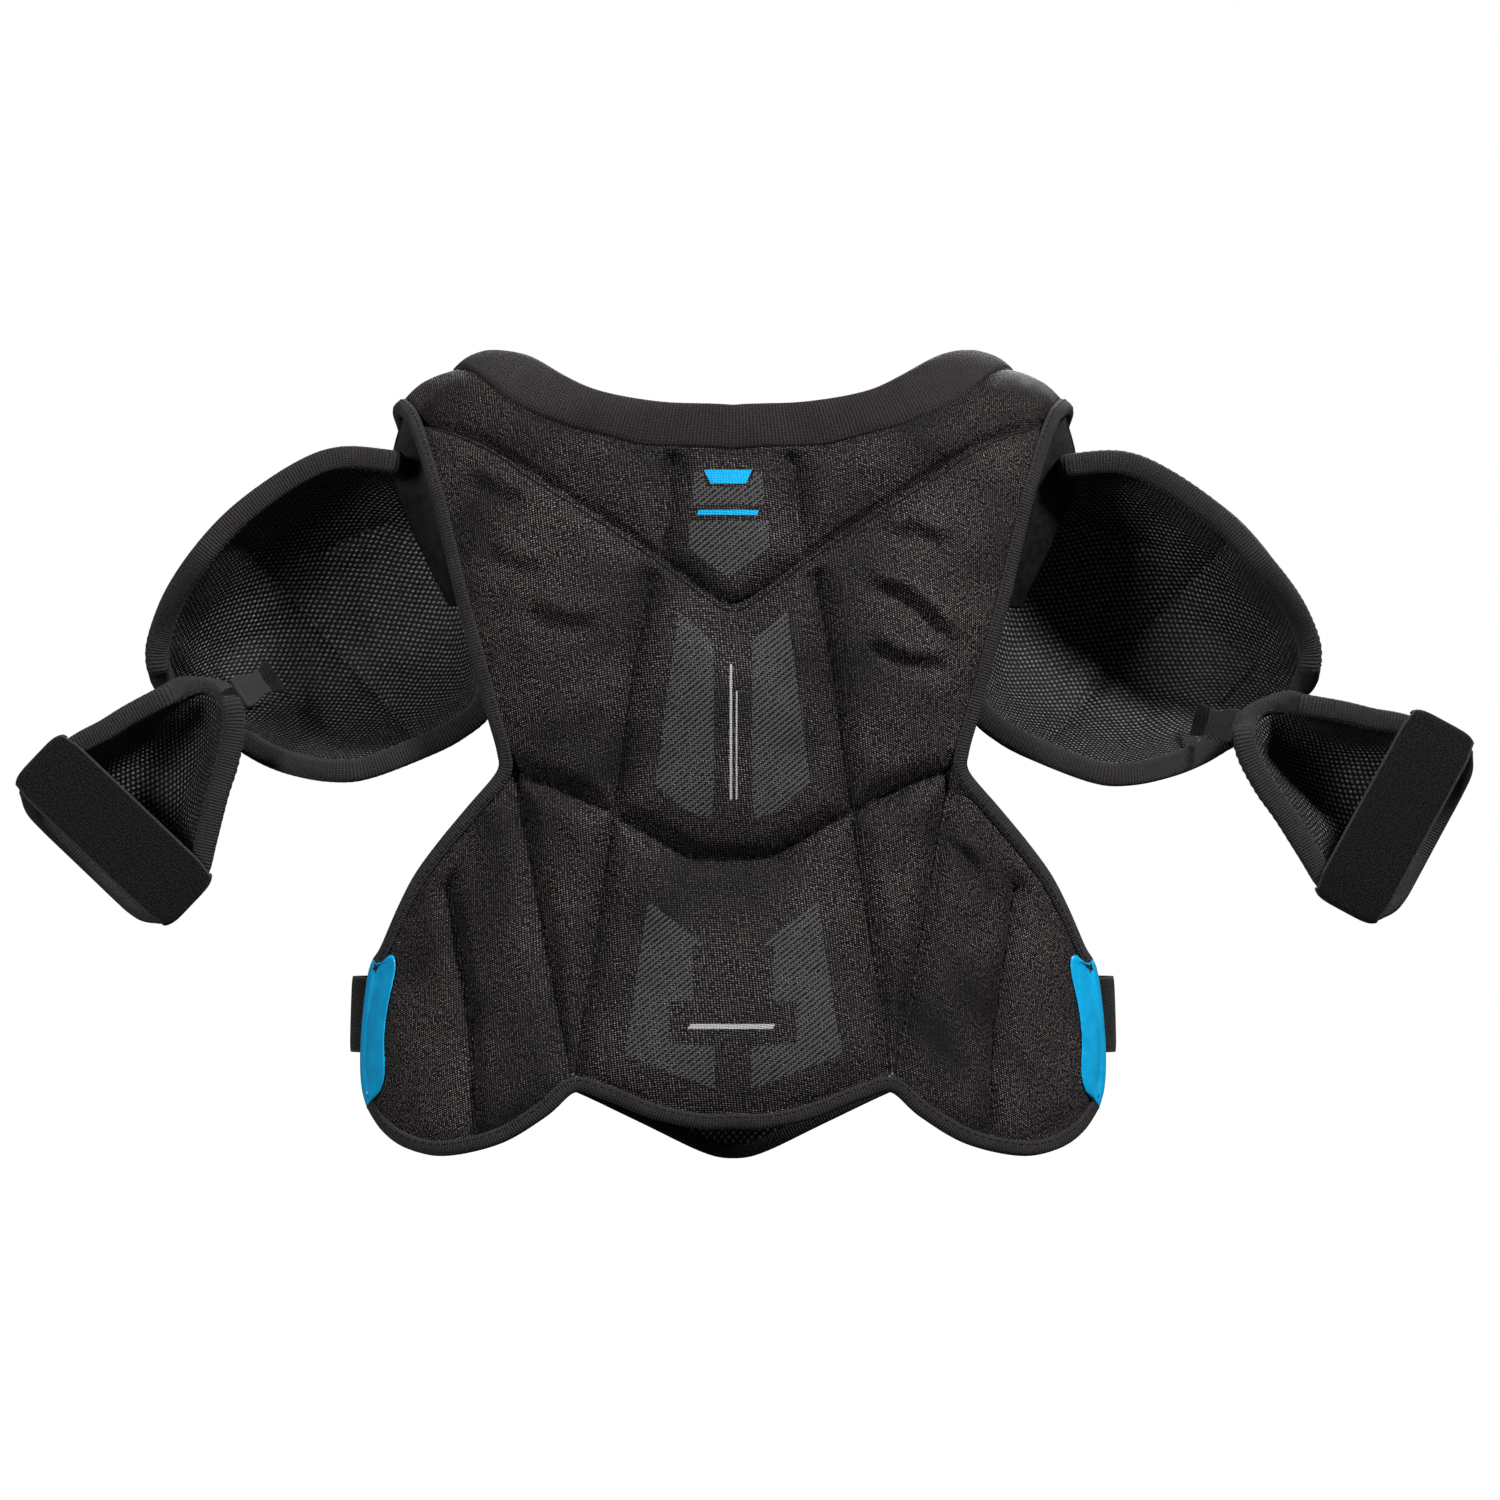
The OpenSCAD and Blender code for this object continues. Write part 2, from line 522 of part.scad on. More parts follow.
module left() { mirror([1, 0, 0]) children(); }

// The right cap rolls about the arm's line through the cap's middle.
cap_middle = [212, -4, -118];
arm_angle = 50;
module right_cap() {
    translate(cap_middle) rotate(right_cap_roll, [cos(arm_angle), 0, -sin(arm_angle)]) translate(-cap_middle) children();
}

// The guard turns about its link. The right one hangs lower as well.
guard_pivot = [250, 0, -165];
right_guard_drop = [4, 0, -15];
module right_guard() {
    translate(guard_pivot + right_guard_drop) rotate([0, -right_guard_turn, 0]) translate(-guard_pivot) children();
}

back_cover();
back_liner();
yoke_cover();
yoke_liner();
back_binding();
spine_plate();
neck_foam();
spine_foam();
lumbar_foam();
left() blade_foam();  // left_blade_foam
blade_foam();  // right_blade_foam
left() wing_foam();  // left_wing_foam
wing_foam();  // right_wing_foam
left() yoke_foam();  // left_yoke_foam
yoke_foam();  // right_yoke_foam
rear_collar_band();
union() { wing_patch(); left() wing_patch(); }  // wing_patches
union() { strap_anchor_pad(); left() strap_anchor_pad(); }  // side_strap_anchors
chest_cover();
chest_liner();
chest_binding();
sternum_plate();
sternum_foam();
left() chest_foam();  // left_chest_foam
chest_foam();  // right_chest_foam
belly_foam();
front_collar_band();
union() { loop_patch(); left() loop_patch(); }  // loop_patches
left() shoulder_flap();  // left_shoulder_flap
shoulder_flap();  // right_shoulder_flap
left() cap_cover();  // left_cap_cover
left() cap_plate();  // left_cap_plate
left() cap_liner();  // left_cap_liner
left() cap_binding();  // left_cap_binding
left() link_patch();  // left_link_patch
right_cap() cap_cover();  // right_cap_cover
right_cap() cap_plate();  // right_cap_plate
right_cap() cap_liner();  // right_cap_liner
right_cap() cap_binding();  // right_cap_binding
right_cap() link_patch();  // right_link_patch
left() guard_cover();  // left_guard_cover
left() guard_plate();  // left_guard_plate
left() guard_liner();  // left_guard_liner
left() guard_binding();  // left_guard_binding
left() elastic_link();  // left_elastic_link
left() arm_strap_anchor();  // left_arm_strap_anchor
right_guard() guard_cover();  // right_guard_cover
right_guard() guard_plate();  // right_guard_plate
right_guard() guard_liner();  // right_guard_liner
right_guard() guard_binding();  // right_guard_binding
right_guard() elastic_link();  // right_elastic_link
right_guard() arm_strap_anchor();  // right_arm_strap_anchor
left() arm_strap();  // left_arm_strap
left() arm_strap_tab();  // left_arm_strap_tab
right_guard() arm_strap();  // right_arm_strap
right_guard() arm_strap_tab();  // right_arm_strap_tab
left() side_strap();  // left_side_strap
left() side_strap_tab();  // left_side_strap_tab
side_strap();  // right_side_strap
side_strap_tab();  // right_side_strap_tab
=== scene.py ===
"""Ice hockey shoulder pads: their looks in Blender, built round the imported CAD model.

Inside the functions lengths are in millimetres, and make_mesh turns them into metres. X points to the
wearer's right, Y forwards and Z up. The panels follow the same form and outlines as the CAD part, with
finer grids, and the padding between their seams is swelled by a cloth simulation.
"""

import math

import bmesh
import bpy
import numpy as np
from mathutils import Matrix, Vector


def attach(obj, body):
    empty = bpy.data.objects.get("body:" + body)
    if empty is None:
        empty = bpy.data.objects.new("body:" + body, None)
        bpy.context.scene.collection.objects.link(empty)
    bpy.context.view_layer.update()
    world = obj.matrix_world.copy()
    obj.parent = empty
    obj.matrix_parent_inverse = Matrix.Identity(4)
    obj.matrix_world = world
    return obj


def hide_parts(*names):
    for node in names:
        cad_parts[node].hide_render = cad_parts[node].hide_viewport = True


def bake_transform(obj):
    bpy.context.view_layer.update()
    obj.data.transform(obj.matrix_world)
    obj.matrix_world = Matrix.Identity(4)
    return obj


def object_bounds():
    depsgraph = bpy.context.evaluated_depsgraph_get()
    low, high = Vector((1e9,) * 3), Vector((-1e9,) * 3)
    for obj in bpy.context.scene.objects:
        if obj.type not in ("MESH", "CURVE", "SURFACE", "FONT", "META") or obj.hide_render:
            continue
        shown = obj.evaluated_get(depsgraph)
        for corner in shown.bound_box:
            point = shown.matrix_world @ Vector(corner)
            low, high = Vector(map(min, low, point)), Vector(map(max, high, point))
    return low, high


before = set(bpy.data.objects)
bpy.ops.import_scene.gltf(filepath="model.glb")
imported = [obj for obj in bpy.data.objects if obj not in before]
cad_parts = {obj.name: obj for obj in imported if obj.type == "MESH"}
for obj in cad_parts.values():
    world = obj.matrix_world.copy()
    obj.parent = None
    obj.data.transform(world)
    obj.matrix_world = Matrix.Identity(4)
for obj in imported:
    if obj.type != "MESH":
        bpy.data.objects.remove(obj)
cad_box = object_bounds()
MM = 0.001
rng = np.random.default_rng(11)

# ---- Camera, floor and light ----

# Views at other poses stand further off, and still have to fit inside the surround.
VIEW_DISTANCE = 10.0
CAMERA_SHIFT_X, CAMERA_SHIFT_Z = 0.0028, 0.003
FRAME_WIDTH = 0.75
PANEL_Y = -0.06


def link(obj):
    bpy.context.scene.collection.objects.link(obj)
    return obj


def make_camera():
    """A long lens straight behind the back panel, looking forwards."""
    low, high = cad_box
    data = bpy.data.cameras.new("camera")
    data.lens = data.sensor_width * VIEW_DISTANCE / FRAME_WIDTH
    cam = link(bpy.data.objects.new("camera", data))
    cam.location = ((low.x + high.x) / 2 + CAMERA_SHIFT_X, PANEL_Y - VIEW_DISTANCE,
                    (low.z + high.z) / 2 + CAMERA_SHIFT_Z)
    cam.rotation_euler = (math.pi / 2, 0, 0)
    bpy.context.scene.camera = cam


def soft_light(name, place, aim, size, power):
    data = bpy.data.lights.new(name, "AREA")
    data.shape = "DISK"
    data.size = size
    data.energy = power
    lamp = link(bpy.data.objects.new(name, data))
    lamp.location = place
    lamp.rotation_euler = (Vector(aim) - Vector(place)).to_track_quat("-Z", "Y").to_euler()


def make_stage():
    """A pale floor under a white surround that lights nothing, and three soft lights."""
    low, high = cad_box
    centre = (low + high) / 2
    bpy.ops.mesh.primitive_plane_add(size=60, location=(0, 0, low.z - 0.35))
    floor = bpy.context.object
    floor.name = "floor"
    bpy.ops.mesh.primitive_uv_sphere_add(radius=29, location=(0, 0, 0))
    dome = bpy.context.object
    dome.name = "surround"
    for obj, shade, glow in ((floor, 0.8, 1.0), (dome, 0.0, 1.0)):
        mat = bpy.data.materials.new(obj.name)
        mat.use_nodes = True
        shader = mat.node_tree.nodes["Principled BSDF"]
        shader.inputs["Base Color"].default_value = (shade, shade, shade, 1)
        shader.inputs["Roughness"].default_value = 0.9
        shader.inputs["Specular IOR Level"].default_value = 0.0
        shader.inputs["Emission Color"].default_value = (1, 1, 1, 1)
        shader.inputs["Emission Strength"].default_value = glow
        obj.data.materials.append(mat)
        obj.visible_diffuse = obj.visible_glossy = obj.visible_shadow = False
    soft_light("key", (1.9, -2.2, 2.2), centre, 0.6, 150)
    soft_light("second", (-1.9, -2.9, 0.6), centre, 0.9, 62)
    soft_light("front", (0.4, 3.2, 1.3), centre, 1.6, 70)
    world = bpy.data.worlds.new("studio")
    world.use_nodes = True
    world.node_tree.nodes["Background"].inputs[0].default_value = (1, 1, 1, 1)
    world.node_tree.nodes["Background"].inputs[1].default_value = 0.06
    bpy.context.scene.world = world
    bpy.context.scene.view_settings.view_transform = "Standard"


make_camera()
make_stage()

# ---- Curves and grids of points, as in the CAD part ----


def smooth(s):
    c = np.clip(s, 0, 1)
    return c * c * (3 - 2 * c)


def spline(pts, per=24):
    """A fine Catmull-Rom curve through the points."""
    p = np.asarray(pts, float)
    n = len(p) - 1
    s = np.linspace(0, n, n * per + 1)
    k = np.minimum(n - 1, np.floor(s).astype(int))
    f = (s - k)[:, None]
    a, b, c, d = p[np.maximum(0, k - 1)], p[k], p[k + 1], p[np.minimum(n, k + 2)]
    return 0.5 * (2 * b + f * (c - a) + f**2 * (2 * a - 5 * b + 4 * c - d) + f**3 * (3 * b - a - 3 * c + d))


def lengths(p):
    return np.concatenate([[0], np.cumsum(np.linalg.norm(np.diff(p, axis=0), axis=1))])


def resample(p, n):
    """n + 1 evenly spaced points of a polyline."""
    s = lengths(p)
    t = np.linspace(0, s[-1], n + 1)
    return np.stack([np.interp(t, s, p[:, c]) for c in range(p.shape[1])], 1)


def stepped(p, step, least=1):
    """A polyline with a point about every step."""
    return resample(p, max(least, int(lengths(p)[-1] / step)))


def along(pts, n):
    return resample(spline(pts), n)


def mirrored(pts):
    return np.asarray(pts, float) * [-1, 1]


def whole(half):
    """Half an outline from the centre line outwards, made whole from -X to +X."""
    half = np.asarray(half, float)
    return np.concatenate([mirrored(half[:0:-1]), half])


def coons(top, right, bottom, left):
    """A grid between four edges. Top and bottom run towards +X, left and right run down."""
    a = np.linspace(0, 1, len(top))[None, :, None]
    b = np.linspace(0, 1, len(right))[:, None, None]
    sides = (1 - b) * top[None] + b * bottom[None] + (1 - a) * left[:, None] + a * right[:, None]
    corners = (1 - a) * ((1 - b) * top[0] + b * bottom[0]) + a * ((1 - b) * top[-1] + b * bottom[-1])
    return sides - corners


def patch(top, right, bottom, left, n, m):
    return coons(along(top, n), along(right, m), along(bottom, n), along(left, m))


def unit(v):
    return v / np.maximum(np.linalg.norm(v, axis=-1, keepdims=True), 1e-9)


def normals(g):
    return unit(np.cross(np.gradient(g, axis=1), np.gradient(g, axis=0)))


def border(g):
    """The edge points of a grid, all the way round."""
    return np.concatenate([g[0, :-1], g[:-1, -1], g[-1, :0:-1], g[:0:-1, 0]])


def nearest(q, curve):
    """For each point of q the distance to the closest point of the curve, and that point's number."""
    flat_q = q.reshape(-1, q.shape[-1])
    dist, index = [], []
    for part in np.array_split(flat_q, max(1, len(flat_q) // 1500)):
        d = ((part[:, None] - curve[None]) ** 2).sum(-1)
        index.append(d.argmin(1))
        dist.append(np.sqrt(d.min(1)))
    return np.concatenate(dist).reshape(q.shape[:-1]), np.concatenate(index).reshape(q.shape[:-1])


def doubled(g):
    """The grid with a point added between each two, on a smooth curve through their neighbours."""
    for axis in (0, 1):
        g = np.moveaxis(g, axis, 0)
        wide = np.concatenate([2 * g[:1] - g[1:2], g, 2 * g[-1:] - g[-2:-1]])
        between = (9 * (wide[1:-2] + wide[2:-1]) - wide[:-3] - wide[3:]) / 16
        out = np.empty((2 * len(g) - 1,) + g.shape[1:])
        out[0::2] = g
        out[1::2] = between
        g = np.moveaxis(out, 0, axis)
    return g


# ---- The torso form ----

TORSO_HALF_W, WAIST_IN, SIDE_U = 189, 8, 230
BACK_DEPTH, BLADE_SWELL, CHEST_DEPTH, CHEST_SWELL = 78, 12, 80, 14
SQUARENESS, SHOULDER_ROUND, ROLL_LEN = 2.6, 62, 116
RIDGE_TOP, RIDGE_FALL = 41.7, 0.00208
HINGE_P, HINGE_GAP = 51, 7


def bell(z, middle, spread):
    return np.exp(-(((z - middle) / spread) ** 2))


def half_w(z):
    return TORSO_HALF_W - WAIST_IN * bell(z, -190, 90)


def depth_back(z):
    return BACK_DEPTH + BLADE_SWELL * bell(z, -130, 95)


def depth_front(z):
    return CHEST_DEPTH + CHEST_SWELL * bell(z, -150, 90)


def ridge_z(x):
    return RIDGE_TOP - RIDGE_FALL * x * x


def round_off(t):
    """How much of the form's depth is left at angle t round the body."""
    rest = np.maximum(0, 1 - np.abs(np.sin(t)) ** SQUARENESS)
    return np.sign(np.cos(t)) * rest ** (1 / SQUARENESS)


def form(q):
    """Points of the form. u runs round the body and p down from the ridge, positive down the back."""
    q = np.asarray(q, float)
    t = np.radians(90 * q[..., 0] / SIDE_U)
    p = np.abs(q[..., 1])
    phi = np.radians(np.minimum(90, 90 * p / ROLL_LEN))
    z = ridge_z(TORSO_HALF_W * np.sin(t)) - SHOULDER_ROUND * (1 - np.cos(phi)) - np.maximum(0, p - ROLL_LEN)
    d = np.where(q[..., 1] >= 0, -depth_back(z), depth_front(z))
    return np.stack([half_w(z) * np.sin(t), d * round_off(t) * np.sin(phi), z], -1)


def flats(pts, way):
    """(u, p) of points seen at x and z from straight behind (way 1) or straight ahead (way -1)."""
    q = np.asarray(pts, float)
    x, z = q[..., 0], q[..., 1]
    w = half_w(z)
    over = np.maximum(0, np.abs(x) - w)
    t = np.arcsin(np.minimum(1, np.abs(x) / w)) + np.radians(90 * over / SIDE_U)
    h = np.maximum(0, ridge_z(TORSO_HALF_W * np.sin(t)) - z)
    rounded = np.degrees(np.arccos(np.clip(1 - h / SHOULDER_ROUND, -1, 1))) * ROLL_LEN / 90
    p = np.where(h < SHOULDER_ROUND, rounded, ROLL_LEN + h - SHOULDER_ROUND)
    return np.stack([np.sign(x) * np.degrees(t) * SIDE_U / 90, way * p], -1)


# ---- Outlines, as seen from straight behind or ahead, from the centre line outwards ----

BACK_NECK = [[0, -17.5], [33.5, -16], [63.5, -11], [83.5, -2.5], [103.5, 8.5]]
BACK_NECK_LOW = [[0, -40], [38, -38.5], [57, -35], [86, -27], [115.5, -12]]
RIDGE_NECK = [[108, 0], [103, -24], [97, -HINGE_P + HINGE_GAP / 2]]
RIDGE_NECK_LOW = [[122, 0], [119, -24], [114, -HINGE_P + HINGE_GAP / 2]]
BACK_SIDE = [[160, -24], [151, -50], [143, -80], [136, -110], [128, -140], [120, -170], [114, -192],
             [115, -203], [131, -222], [146, -240], [157, -255], [165, -270], [174, -290], [180, -302],
             [184, -335], [184, -355], [181, -368]]
BACK_HEM = [[0, -375], [17, -375], [40, -370], [63, -361], [80, -357], [96, -370], [118, -383],
            [144, -389], [162, -386], [174, -378], [181, -368]]
YOKE_SEAM = [[0, -116.5], [13, -110.5], [39, -91], [61, -76], [86, -60], [108, -46], [130, -33], [160, -24]]
YOKE_SIDE = [[158, 14], [161, -18], [157, -HINGE_P + HINGE_GAP / 2]]
CHEST_NECK = [[0, -72], [30, -66], [60, -48], [83, -26], [100, -8]]
CHEST_NECK_LOW = [[0, -97], [36, -89], [68, -68], [95, -43], [112, -24]]
CHEST_SIDE = [[147, -55], [130, -85], [115, -118], [107, -155], [107, -195], [115, -235], [127, -270],
              [133, -305], [133, -328], [129, -341]]
CHEST_HEM = [[0, -393], [17, -389], [48, -374], [80, -359], [106, -349], [129, -341]]
CHEST_HINGE = -HINGE_P - HINGE_GAP / 2
YOKE_U = 157
SEAM_STEP = 0.5

# Sewn channels. Each is a line of points, drawn on one side and mirrored.
BACK_SEAMS = [
    [[41.5, -104], [50.5, -152], [58, -210], [60, -222]],
    [[116, -199], [92, -207], [77, -214], [60, -222]],
    [[60, -222], [46, -229], [31, -238], [20, -244], [0, -245]],
    [[60, -222], [64, -251], [69.5, -287.5], [75, -317], [80, -358]],
    [[110, -201], [104, -233], [95.5, -280], [89.5, -312], [80, -358]],
    [[143, -259], [139, -288], [132, -330], [130, -387]],
]
YOKE_SEAMS = [[[29, -38], [35.5, -94]]]
CHEST_SEAMS = [
    [[36, -89], [42, -150], [36, -235], [0, -262]],
    [[36, -235], [62, -300], [80, -360]],
    [[42, -150], [107, -172]],
    [[36, -235], [116, -236]],
]


def seam_curves(seams, way):
    """The seams of a panel and their mirror images in the form's own lengths, a point every SEAM_STEP."""
    curves = []
    for seam in seams:
        q = stepped(flats(stepped(np.asarray(seam, float), 2), way), SEAM_STEP)
        curves += [q, mirrored(q)]
    return curves


# ---- Meshes ----


def make_mesh(name, points, faces, body, mats, uv=None, print_uv=None, face_mat=None):
    """A smooth mesh in metres from points in millimetres, riding on a body. UV maps stay in millimetres."""
    mesh = bpy.data.meshes.new(name)
    faces = faces.tolist() if isinstance(faces, np.ndarray) else faces
    mesh.from_pydata((np.asarray(points) * MM).tolist(), [], faces)
    corner = np.empty(len(mesh.loops), int)
    mesh.loops.foreach_get("vertex_index", corner)
    for label, coords in (("cloth", uv), ("print", print_uv)):
        if coords is not None:
            layer = mesh.uv_layers.new(name=label)
            layer.data.foreach_set("uv", np.asarray(coords, np.float32)[corner].ravel())
    for mat in mats:
        mesh.materials.append(mat)
    if face_mat is not None:
        mesh.polygons.foreach_set("material_index", np.asarray(face_mat, np.int32))
    mesh.polygons.foreach_set("use_smooth", np.ones(len(mesh.polygons), bool))
    bm = bmesh.new()
    bm.from_mesh(mesh)
    bmesh.ops.recalc_face_normals(bm, faces=bm.faces)
    bm.to_mesh(mesh)
    bm.free()
    obj = link(bpy.data.objects.new(name, mesh))
    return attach(obj, body) if body else obj


def declare(obj, slot, fill, *nodes):
    """Hides the CAD nodes that a piece stands for. Its finish (slot) and how full its padding is (fill) are
    not used.
    """
    if nodes:
        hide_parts(*nodes)


def grid_quads(rows, columns):
    k = np.arange(rows * columns).reshape(rows, columns)
    return np.stack([k[:-1, :-1], k[:-1, 1:], k[1:, 1:], k[1:, :-1]], -1).reshape(-1, 4)


def closed_faces(rows, columns):
    """Quads of the closed solid between two grids of points, and which of the two each one lies on."""
    near = grid_quads(rows, columns)
    size = rows * columns
    rim = border(np.arange(size).reshape(rows, columns))
    after = np.roll(rim, -1)
    edge = np.stack([after, rim, rim + size, after + size], -1)
    side = np.concatenate([np.zeros(len(near)), np.ones(len(near)), np.zeros(len(edge))])
    return np.concatenate([near, near[:, ::-1] + size, edge]), side


def closed_grid(name, outer, inner, body, mats, uv, print_uv=None):
    """The closed solid between two grids. The second material, if there is one, is on the inner one."""
    faces, side = closed_faces(*outer.shape[:2])
    points = np.concatenate([outer.reshape(-1, 3), inner.reshape(-1, 3)])
    twice = [None if c is None else np.tile(c.reshape(-1, 2), (2, 1)) for c in (uv, print_uv)]
    face_mat = side if len(mats) > 1 else None
    return make_mesh(name, points, faces, body, mats, twice[0], twice[1], face_mat)


def closed_part(outer, inner, uv):
    """The closed solid between two grids, for join_meshes."""
    faces, _ = closed_faces(*outer.shape[:2])
    points = np.concatenate([outer.reshape(-1, 3), inner.reshape(-1, 3)])
    return points, faces.tolist(), np.tile(uv.reshape(-1, 2), (2, 1))


def lengths_uv(g):
    """UV in millimetres from a grid's own lengths along its middle row and middle column."""
    across = lengths(g[len(g) // 2])
    down = lengths(g[:, g.shape[1] // 2])
    return np.stack(np.meshgrid(across, down), -1)


FRAME_STEP = 2.6


def split(frames):
    """The points, the ways out and the ways in of a list of frames."""
    return (np.array([f[k] for f in frames]) for k in range(3))


def swept(frames, section, closed):
    """The points, faces and UV of a closed section swept along frames of (point, way out, way in)."""
    spots, outs, ins = split(frames)
    rings = spots[:, None] + outs[:, None] * section[None, :, :1] + ins[:, None] * section[None, :, 1:]
    k, s = rings.shape[:2]
    index = np.arange(k * s).reshape(k, s)
    after_ring = np.roll(index, -1, 0)
    turn = np.roll(index, -1, 1)
    quads = np.stack([index, turn, np.roll(after_ring, -1, 1), after_ring], -1)
    quads = quads if closed else quads[:-1]
    faces = quads.reshape(-1, 4).tolist()
    if not closed:
        faces += [index[0].tolist(), index[-1].tolist()]
    uv = np.stack(np.meshgrid(lengths(section), lengths(spots)), -1)[..., ::-1].reshape(-1, 2)
    return rings.reshape(-1, 3), faces, uv


def edge_frames(g, face, closed):
    """Frames for a binding down a grid's right edge, along the bottom and up the left, and if closed the top.

    Each frame is a point, the way out past the edge and the way in through the layers.
    """
    m, n = g.shape[:2]
    cells = [(j, n - 1) for j in range(m)] + [(m - 1, i) for i in range(n - 2, -1, -1)]
    cells += [(j, 0) for j in range(m - 2, -1, -1)]
    if closed:
        cells += [(0, i) for i in range(1, n - 1)]
    rc = np.asarray(cells)
    spots = g[rc[:, 0], rc[:, 1]]
    ins = face * normals(g)[rc[:, 0], rc[:, 1]]
    inside = g[np.clip(rc[:, 0], 2, m - 3), np.clip(rc[:, 1], 2, n - 3)]
    return even_frames(spots, spots - inside, ins, closed)


def even_frames(spots, away, ins, closed):
    """Frames spread evenly along an edge, square to it and turned smoothly round its corners."""
    if closed:
        spots, away, ins = (np.concatenate([v, v[:1]]) for v in (spots, away, ins))
    s = lengths(spots)
    t = np.linspace(0, s[-1], int(s[-1] / FRAME_STEP) + 1)
    spots, away, ins = (np.stack([np.interp(t, s, v[:, c]) for c in range(3)], 1)
                        for v in (spots, away, ins))
    if closed:
        spots, away, ins = spots[:-1], away[:-1], ins[:-1]

    def beside(v, k):
        if closed:
            return np.roll(v, -k, 0)
        return v[np.clip(np.arange(len(v)) + k, 0, len(v) - 1)]

    tangent = unit(beside(spots, 1) - beside(spots, -1))
    ins = unit(ins)
    side = np.cross(ins, tangent)
    side *= np.sign((side * away).sum(1))[:, None]
    for _ in range(3):
        side = unit(beside(side, 1) + 2 * side + beside(side, -1))
    ins = unit(ins - side * (ins * side).sum(1, keepdims=True))
    return list(zip(spots, side, ins))


def join_meshes(parts):
    """Several (points, faces, uv) as one."""
    points, faces, uvs, start = [], [], [], 0
    for p, f, uv in parts:
        points.append(p)
        faces += [[i + start for i in face] for face in f]
        uvs.append(uv)
        start += len(p)
    return np.concatenate(points), faces, np.concatenate(uvs)


# ---- Placing the arms ----

CAP_MIDDLE = np.array([212, -4, -118.0])
ARM_ANGLE, RIGHT_CAP_ROLL = 50, 6
GUARD_PIVOT = np.array([250, 0, -165.0])
RIGHT_GUARD_DROP = np.array([4, 0, -15.0])
RIGHT_GUARD_TURN = 18


def turned(points, about, axis, degrees):
    a = math.radians(degrees)
    k = unit(np.asarray(axis, float))
    p = points - about
    dot = (p @ k)[..., None] * k
    return about + p * math.cos(a) + np.cross(k, p) * math.sin(a) + dot * (1 - math.cos(a))


def mirror_x(points):
    return points * np.array([-1, 1, 1])


def right_cap(points):
    axis = [math.cos(math.radians(ARM_ANGLE)), 0, -math.sin(math.radians(ARM_ANGLE))]
    return turned(points, CAP_MIDDLE, axis, RIGHT_CAP_ROLL)


def right_guard(points):
    return turned(points, GUARD_PIVOT, [0, -1, 0], RIGHT_GUARD_TURN) + RIGHT_GUARD_DROP


def as_is(points):
    return points


CAP_PLACES = {"left": mirror_x, "right": right_cap}
GUARD_PLACES = {"left": mirror_x, "right": right_guard}
TORSO_PLACES = {"left": mirror_x, "right": as_is}
SIDE_SIGN = {"left": -1, "right": 1}

# ---- Materials ----


